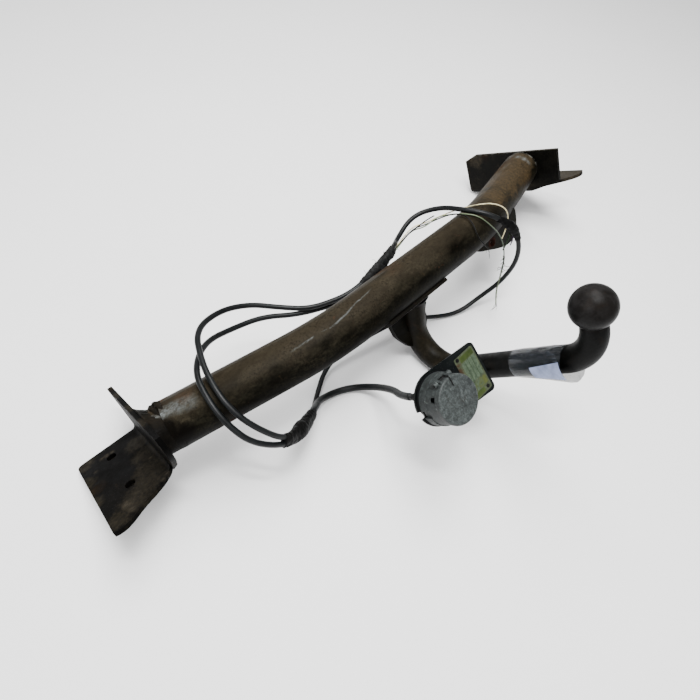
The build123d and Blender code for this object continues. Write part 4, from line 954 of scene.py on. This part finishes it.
# bare strands at the wires' ends
hairs = []
for line, count in ((yellow_line, 7), (green_line, 6), (black_line, 3)):
    t = (line[-1] - line[-4]).normalized()
    for i in range(count):
        hairs.append(strand(rng, line[-1] - t * 0.0006, t + Vector([rng.uniform(-0.7, 0.7) for _ in range(3)]),
                            rng.uniform(0.007, 0.018), 0.3))
wire_frays = join_tubes("wire_end_frays", hairs, 0.00028, M["stray"])
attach(wire_frays, "towbar")

# dark strands twisted round the green and white wire where it hangs free
k0 = len(green_line) - 1
run = 0.0
while k0 > 1 and run < 0.082:
    run += (green_line[k0] - green_line[k0 - 1]).length
    k0 -= 1
free = resample(green_line[k0:], 70)
twist = []
for j in range(4):
    line = []
    for k, (p, (_, a, b)) in enumerate(zip(free, frames(free))):
        ang = j * math.pi / 2 + k * 0.42 + 0.5 * math.sin(k * 0.21 + j)
        out = 0.0010 + 0.0005 * math.sin(k * 0.37 + 2.0 * j)
        line.append(p + (a * math.cos(ang) + b * math.sin(ang)) * out)
    twist.append(line)
for i in range(9):
    k = rng.randrange(2, 26)
    head = Vector((rng.uniform(-1, 1), rng.uniform(-1, 1), rng.uniform(-1.2, 0.3)))
    twist.append(strand(rng, free[k], head, rng.uniform(0.008, 0.018), 0.45))
hanging = join_tubes("wire_hanging_strands", twist, 0.00042, M["stray"])
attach(hanging, "towbar")

# taped joint beside the lug
k0 = nearest(cable_line, rp(56.8, 176.9, -13.4))
joint_line = resample(cable_line[k0 - 13:k0 + 6], 46)


def joint_r(share, ang):
    base = CABLE_D / 2 * MM + 0.0007 + 0.0030 * bell(share, 0.5, 0.30)
    return base + 0.0006 * ((share * 7 + ang / (2 * math.pi)) % 1.0) + 0.0006 * noise.noise(
        Vector((math.cos(ang), math.sin(ang), share * 7)))


joint_tape = tube("joint_tape_winding", joint_line, joint_r, M["tape_black"], sides=30)
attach(joint_tape, "towbar")

# the thicker sleeve from the socket to the front tape
k1 = nearest(cable_line, rp(*CABLE[6]))
sleeve_line = resample(cable_line[2:k1 + 3], 150)


def sleeve_r(share, ang):
    ring = 0.00012 * noise.noise(Vector((math.cos(ang), math.sin(ang), share * 60)))
    return CABLE_D / 2 * MM + 0.0015 * min(1.0, share / 0.01 + 0.4) + ring - 0.0006 * max(0.0, (share - 0.97) / 0.03)


sleeve = tube("cable_sleeve", sleeve_line, sleeve_r, M["cable"], sides=24)
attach(sleeve, "towbar")

# ---------------------------------------------------------------------------
# welds
# ---------------------------------------------------------------------------
BEAM_BACK, BEAM_HALF, TUBE_R = 67.7, 394.0, 31.75
EDN = math.hypot(BEAM_BACK, BEAM_HALF - 165.0)
END_Y = (BEAM_HALF - 165.0) / EDN
ELL_U, ELL_W = TUBE_R / END_Y, TUBE_R
SLOPE = BEAM_BACK / (BEAM_HALF - 165.0)


SWAGE_R, SWAGE_RUN = 29.0, 21.0
CUT_RUN = 9.3


def rough_ring(name, rows, node, n=220):
    """Closed skin of weld from rows(angle), the points across the bead in order."""
    verts, faces, m = [], [], 0
    for i in range(n):
        pts = rows(2 * math.pi * i / n)
        m = len(pts)
        verts.extend(pts)
    for i in range(n):
        k = (i + 1) % n
        for j in range(m):
            q = (j + 1) % m
            faces.append((i * m + j, i * m + q, k * m + q, k * m + j))
    ob = add_mesh(name, verts, faces, M["weld"])
    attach(ob, "towbar")
    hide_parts(node)
    return ob


def left_rows(a):
    """Rough fillet between the left bracket and the narrower tube end, thicker on top."""
    seed = 1.0
    eu, ew = SWAGE_R / END_Y, SWAGE_R
    lumpy = noise.noise(Vector((math.cos(a) * 2.2 + seed, math.sin(a) * 2.2, seed)))
    fine = noise.noise(Vector((math.cos(a) * 9.0, math.sin(a) * 9.0, seed)))
    leg = 5.5 * (0.92 + 0.20 * lumpy + 0.12 * fine) - 1.5 * math.cos(a) + 2.5 * math.sin(a)
    flush = max(0.0, 1.2 + 1.1 * math.cos(a) - 1.3 * math.sin(a))
    k = min(1.0, max(0.0, (flush - 0.3) / 1.4))
    k = k * k * (3 - 2 * k)
    base = min(2.8, flush) * k
    run_to = 11.0 * (0.88 + 0.26 * lumpy + 0.16 * fine) * (1 - k) + 21.6 * k

    def at(run, out):
        return rp(-BEAM_BACK + run * SLOPE + (eu + out) * math.cos(a), -(BEAM_HALF - run), (ew + out) * math.sin(a))

    pts = []
    for j in range(11):
        f = j / 10
        out = max(0.4, leg * (1 - 0.35 * k)) * (1 - f) ** (1.45 + 2.5 * k) + 0.15 + base * f ** 0.5
        run = run_to * f ** 1.25
        p = at(run, out)
        saw = (a * 40.0 / 4.6 + 0.6 * f + 0.5 * noisy(p, 90.0, seed)) % 1.0
        out += math.sin(math.pi * f) * (1.2 * noisy(p, 75.0, seed) + 0.6 * noisy(p, 260.0, seed + 3) + 0.7 * (saw - 0.5) + 0.3) * (1 - 0.6 * k)
        pts.append(at(run, out))
    return pts + [at(run_to, -0.8), at(0.0, -0.8)]


def right_rows(a):
    """Rough fill of the wedge between the tube's square cut and the right bracket."""
    seed = 4.0
    on = (-BEAM_BACK + (CUT_RUN + 2.0) * SLOPE, BEAM_HALF - CUT_RUN - 2.0)
    side = (END_Y, BEAM_BACK / EDN)
    lumpy = noise.noise(Vector((math.cos(a) * 2.2 + seed, math.sin(a) * 2.2, seed)))

    def plate(r):
        return (-BEAM_BACK + (ELL_U + r) * math.cos(a), BEAM_HALF, (TUBE_R - 3.0 + r) * math.sin(a))

    def bar(r):
        c = (TUBE_R + r) * math.cos(a)
        return (on[0] + side[0] * c, on[1] + side[1] * c, (TUBE_R + r) * math.sin(a))

    pts = []
    for j in range(11):
        f = j / 10
        r = 1.0 + 0.5 * lumpy - 0.6 * f
        g = f ** 1.15
        x0, x1 = plate(r), bar(r)
        q = rp(*[x0[i] + (x1[i] - x0[i]) * g for i in range(3)])
        saw = (a * 40.0 / 4.6 + 0.6 * f + 0.5 * noisy(q, 90.0, seed)) % 1.0
        r += math.sin(math.pi * f) * (1.0 * noisy(q, 75.0, seed) + 0.6 * noisy(q, 260.0, seed + 3) + 0.6 * (saw - 0.5) - 0.4)
        x0, x1 = plate(r), bar(r)
        pts.append(rp(*[x0[i] + (x1[i] - x0[i]) * g for i in range(3)]))
    return pts + [rp(*bar(-1.0)), rp(*plate(-4.0))]


# the low lump of weld on top of the tube where it narrows, broad and flat
hump = []
for k in range(60):
    a = math.radians(66 + 62 * k / 59)
    run = 21.5 + 1.5 * math.sin(a * 2.0)
    hump.append(rp(-BEAM_BACK + run * SLOPE + (ELL_U - 1.6) * math.cos(a), -(BEAM_HALF - run), (ELL_W - 1.6) * math.sin(a)))


def hump_r(share, ang):
    p = Vector((math.cos(ang), math.sin(ang), share * 9))
    swell = max(0.0, math.sin(math.pi * share)) ** 0.7
    return (0.0006 + 0.0036 * swell) * (1.0 + 0.28 * noise.noise(p) + 0.16 * noise.noise(p * 3.1))


hump_bead = tube("left_tube_weld_run", hump, hump_r, M["weld"], sides=18)
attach(hump_bead, "towbar")

# a second, lower run between that lump and the fillet
step = []
for k in range(60):
    a = math.radians(60 + 70 * k / 59)
    run = 15.5 + 1.2 * math.sin(a * 2.4)
    step.append(rp(-BEAM_BACK + run * SLOPE + (SWAGE_R / END_Y - 0.6) * math.cos(a), -(BEAM_HALF - run), (SWAGE_R - 0.6) * math.sin(a)))
step_bead = tube("left_tube_weld_step", step, lambda share, ang: 0.92 * hump_r(share, ang + 1.7), M["weld"], sides=18)
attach(step_bead, "towbar")

rough_ring("left_tube_weld_bead", left_rows, "left_end_weld")
rough_ring("right_tube_weld_bead", right_rows, "right_end_weld")


def weld_nuts(name, sign):
    """Hexagon nuts welded under a flange's two bolt holes."""
    verts, faces = [], []
    for u in (-160.0, -80.0):
        rings = []
        for r, w, hexed in ((5.1, -49.0, False), (9.2, -49.0, True), (9.5, -49.6, True), (9.5, -56.2, True), (8.9, -57.0, True),
                            (6.0, -57.0, False), (5.1, -56.2, False)):
            ring = []
            for k in range(48):
                a = 2 * math.pi * k / 48
                q = r / math.cos((a + math.pi / 6) % (math.pi / 3) - math.pi / 6) if hexed else r
                ring.append(len(verts))
                verts.append(rp(u + q * math.cos(a), sign * 446.0 + q * math.sin(a), w))
            rings.append(ring)
        for i in range(len(rings)):
            a_, b_ = rings[i], rings[(i + 1) % len(rings)]
            for k in range(48):
                m = (k + 1) % 48
                faces.append((a_[k], a_[m], b_[m], b_[k]))
    ob = add_mesh(name, verts, faces, M["weld"], smooth=False)
    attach(ob, "towbar")
    return ob


weld_nuts("left_flange_weld_nuts", -1)
weld_nuts("right_flange_weld_nuts", 1)

# clear film round the neck: a creased sleeve, flared towards the ball
NB, ND = (-51.5, -197.6), (254.3, -69.2)
NL = math.hypot(ND[0] - NB[0], ND[1] - NB[1])
D2 = ((ND[0] - NB[0]) / NL, (ND[1] - NB[1]) / NL)
NN = (-D2[1], D2[0])
FILM = ((221, 0.0, 0.0, 19.4), (262, -1.6, -1.8, 21.2), (303, -3.6, -4.2, 24.0))


def film_at(s):
    a, b = (FILM[0], FILM[1]) if s < 262 else (FILM[1], FILM[2])
    f = (s - a[0]) / (b[0] - a[0])
    return [a[i] + (b[i] - a[i]) * f for i in (1, 2, 3)]


def film_sleeve():
    rows, cols = 84, 132
    verts, faces = [], []
    for i in range(rows):
        f = i / (rows - 1)
        for k in range(cols):
            a = 2 * math.pi * k / cols
            ragged = 0.7 * noise.noise(Vector((math.cos(a) * 2.0, math.sin(a) * 2.0, 3.0)))
            s = 221.6 + ragged * (1 - f) + f * (80.6 + 0.6 * ragged)
            yo, no, r = film_at(s)
            p = Vector((math.cos(a) * 1.6, math.sin(a) * 1.6, s * 0.022))
            crease = abs(noise.noise(p * 1.7)) * 1.5 + abs(noise.noise(Vector((p.x * 4.0, p.y * 4.0, p.z * 1.3)))) * 0.8
            front = bell(a, math.radians(180), math.radians(42))
            r = r - 0.30 - min(1.15, crease) * (0.25 + 0.75 * f) * (1.0 - front)
            b = (NB[0] + D2[0] * s + NN[0] * (no + r * math.sin(a)), NB[1] + D2[1] * s + NN[1] * (no + r * math.sin(a)))
            verts.append(rp(b[0], yo + r * math.cos(a), b[1]))
    for i in range(rows - 1):
        for k in range(cols):
            m = (k + 1) % cols
            faces.append((i * cols + k, i * cols + m, (i + 1) * cols + m, (i + 1) * cols + k))
    return add_mesh("creased_film_sleeve", verts, faces, M["film"])


film = film_sleeve()
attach(film, "towbar")
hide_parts("film_wrap")

for n_, m_, b_ in (
    ("crossbeam_tube", "beam", 0.0), ("left_side_bracket", "bracket", 0.0009), ("right_side_bracket", "bracket_r", 0.0009),
    ("saddle_plate", "saddle", 0.0006), ("neck_gussets", "gusset", 0.0006), ("neck_weld", "weld", 0.0),
    ("under_beam_lug", "lug", 0.0010), ("swan_neck", "forging", 0.0), ("socket_mounting_plate", "plate", 0.0005),
    ("socket_arm", "plate", 0.0005), ("rating_plate", "rating", 0.0), ("rating_plate_rivets", "rivet", 0.0002),
    ("socket_gasket", "rubber", 0.0003), ("socket_housing", "casting", 0.0005), ("socket_lid", "casting", 0.0),
    ("contact_insert", "insert", 0.0), ("contact_pins", "brass", 0.0), ("socket_screws", "screw", 0.0002),
    ("socket_nuts", "screw", 0.0002), ("rear_boot", "rubber", 0.0005), ("rear_collar", "insert", 0.0003),
    ("cable_gland", "rubber", 0.0), ("lid_seal", "rubber", 0.0), ("lid_hinge_pin", "pin", 0.0002),
    ("lid_spring", "pin", 0.0), ("paper_label", "label", 0.0),
):
    if n_ in NODES:
        dress(n_, M[m_], b_)

# ---------------------------------------------------------------------------
# stage: pale floor and soft light
# ---------------------------------------------------------------------------
fl = add_mesh("floor", [(-4, -4, -0.0006), (4, -4, -0.0006), (4, 4, -0.0006), (-4, 4, -0.0006)], [(0, 1, 2, 3)], floor_mat(), smooth=False)

world = bpy.data.worlds.new("studio")
world.use_nodes = True
world.node_tree.nodes["Background"].inputs[0].default_value = (1.0, 1.0, 1.0, 1.0)
world.node_tree.nodes["Background"].inputs[1].default_value = 0.55
bpy.context.scene.world = world


def softbox(name, where, target, size, power, size_y=None):
    li = bpy.data.lights.new(name, "AREA")
    li.shape = "RECTANGLE"
    li.size = size
    li.size_y = size_y or size
    li.energy = power
    ob = bpy.data.objects.new(name, li)
    bpy.context.scene.collection.objects.link(ob)
    ob.location = where
    ob.rotation_mode = "QUATERNION"
    ob.rotation_quaternion = (Vector(target) - Vector(where)).to_track_quat("-Z", "Y")
    return ob


softbox("over", (-0.25, 0.15, 2.0), (0.0, 0.0, 0.1), 1.0, 85.0, 1.9)
softbox("left", (-0.4, -2.0, 1.2), (0.0, -0.2, 0.1), 1.2, 18.0)
softbox("front", (2.0, -0.6, 1.4), (0.0, 0.0, 0.1), 1.4, 16.0)
softbox("strip", (-0.005, -0.27, 1.3), (-0.09, -0.34, 0.11), 0.07, 9.0, 0.36)

bpy.context.view_layer.update()
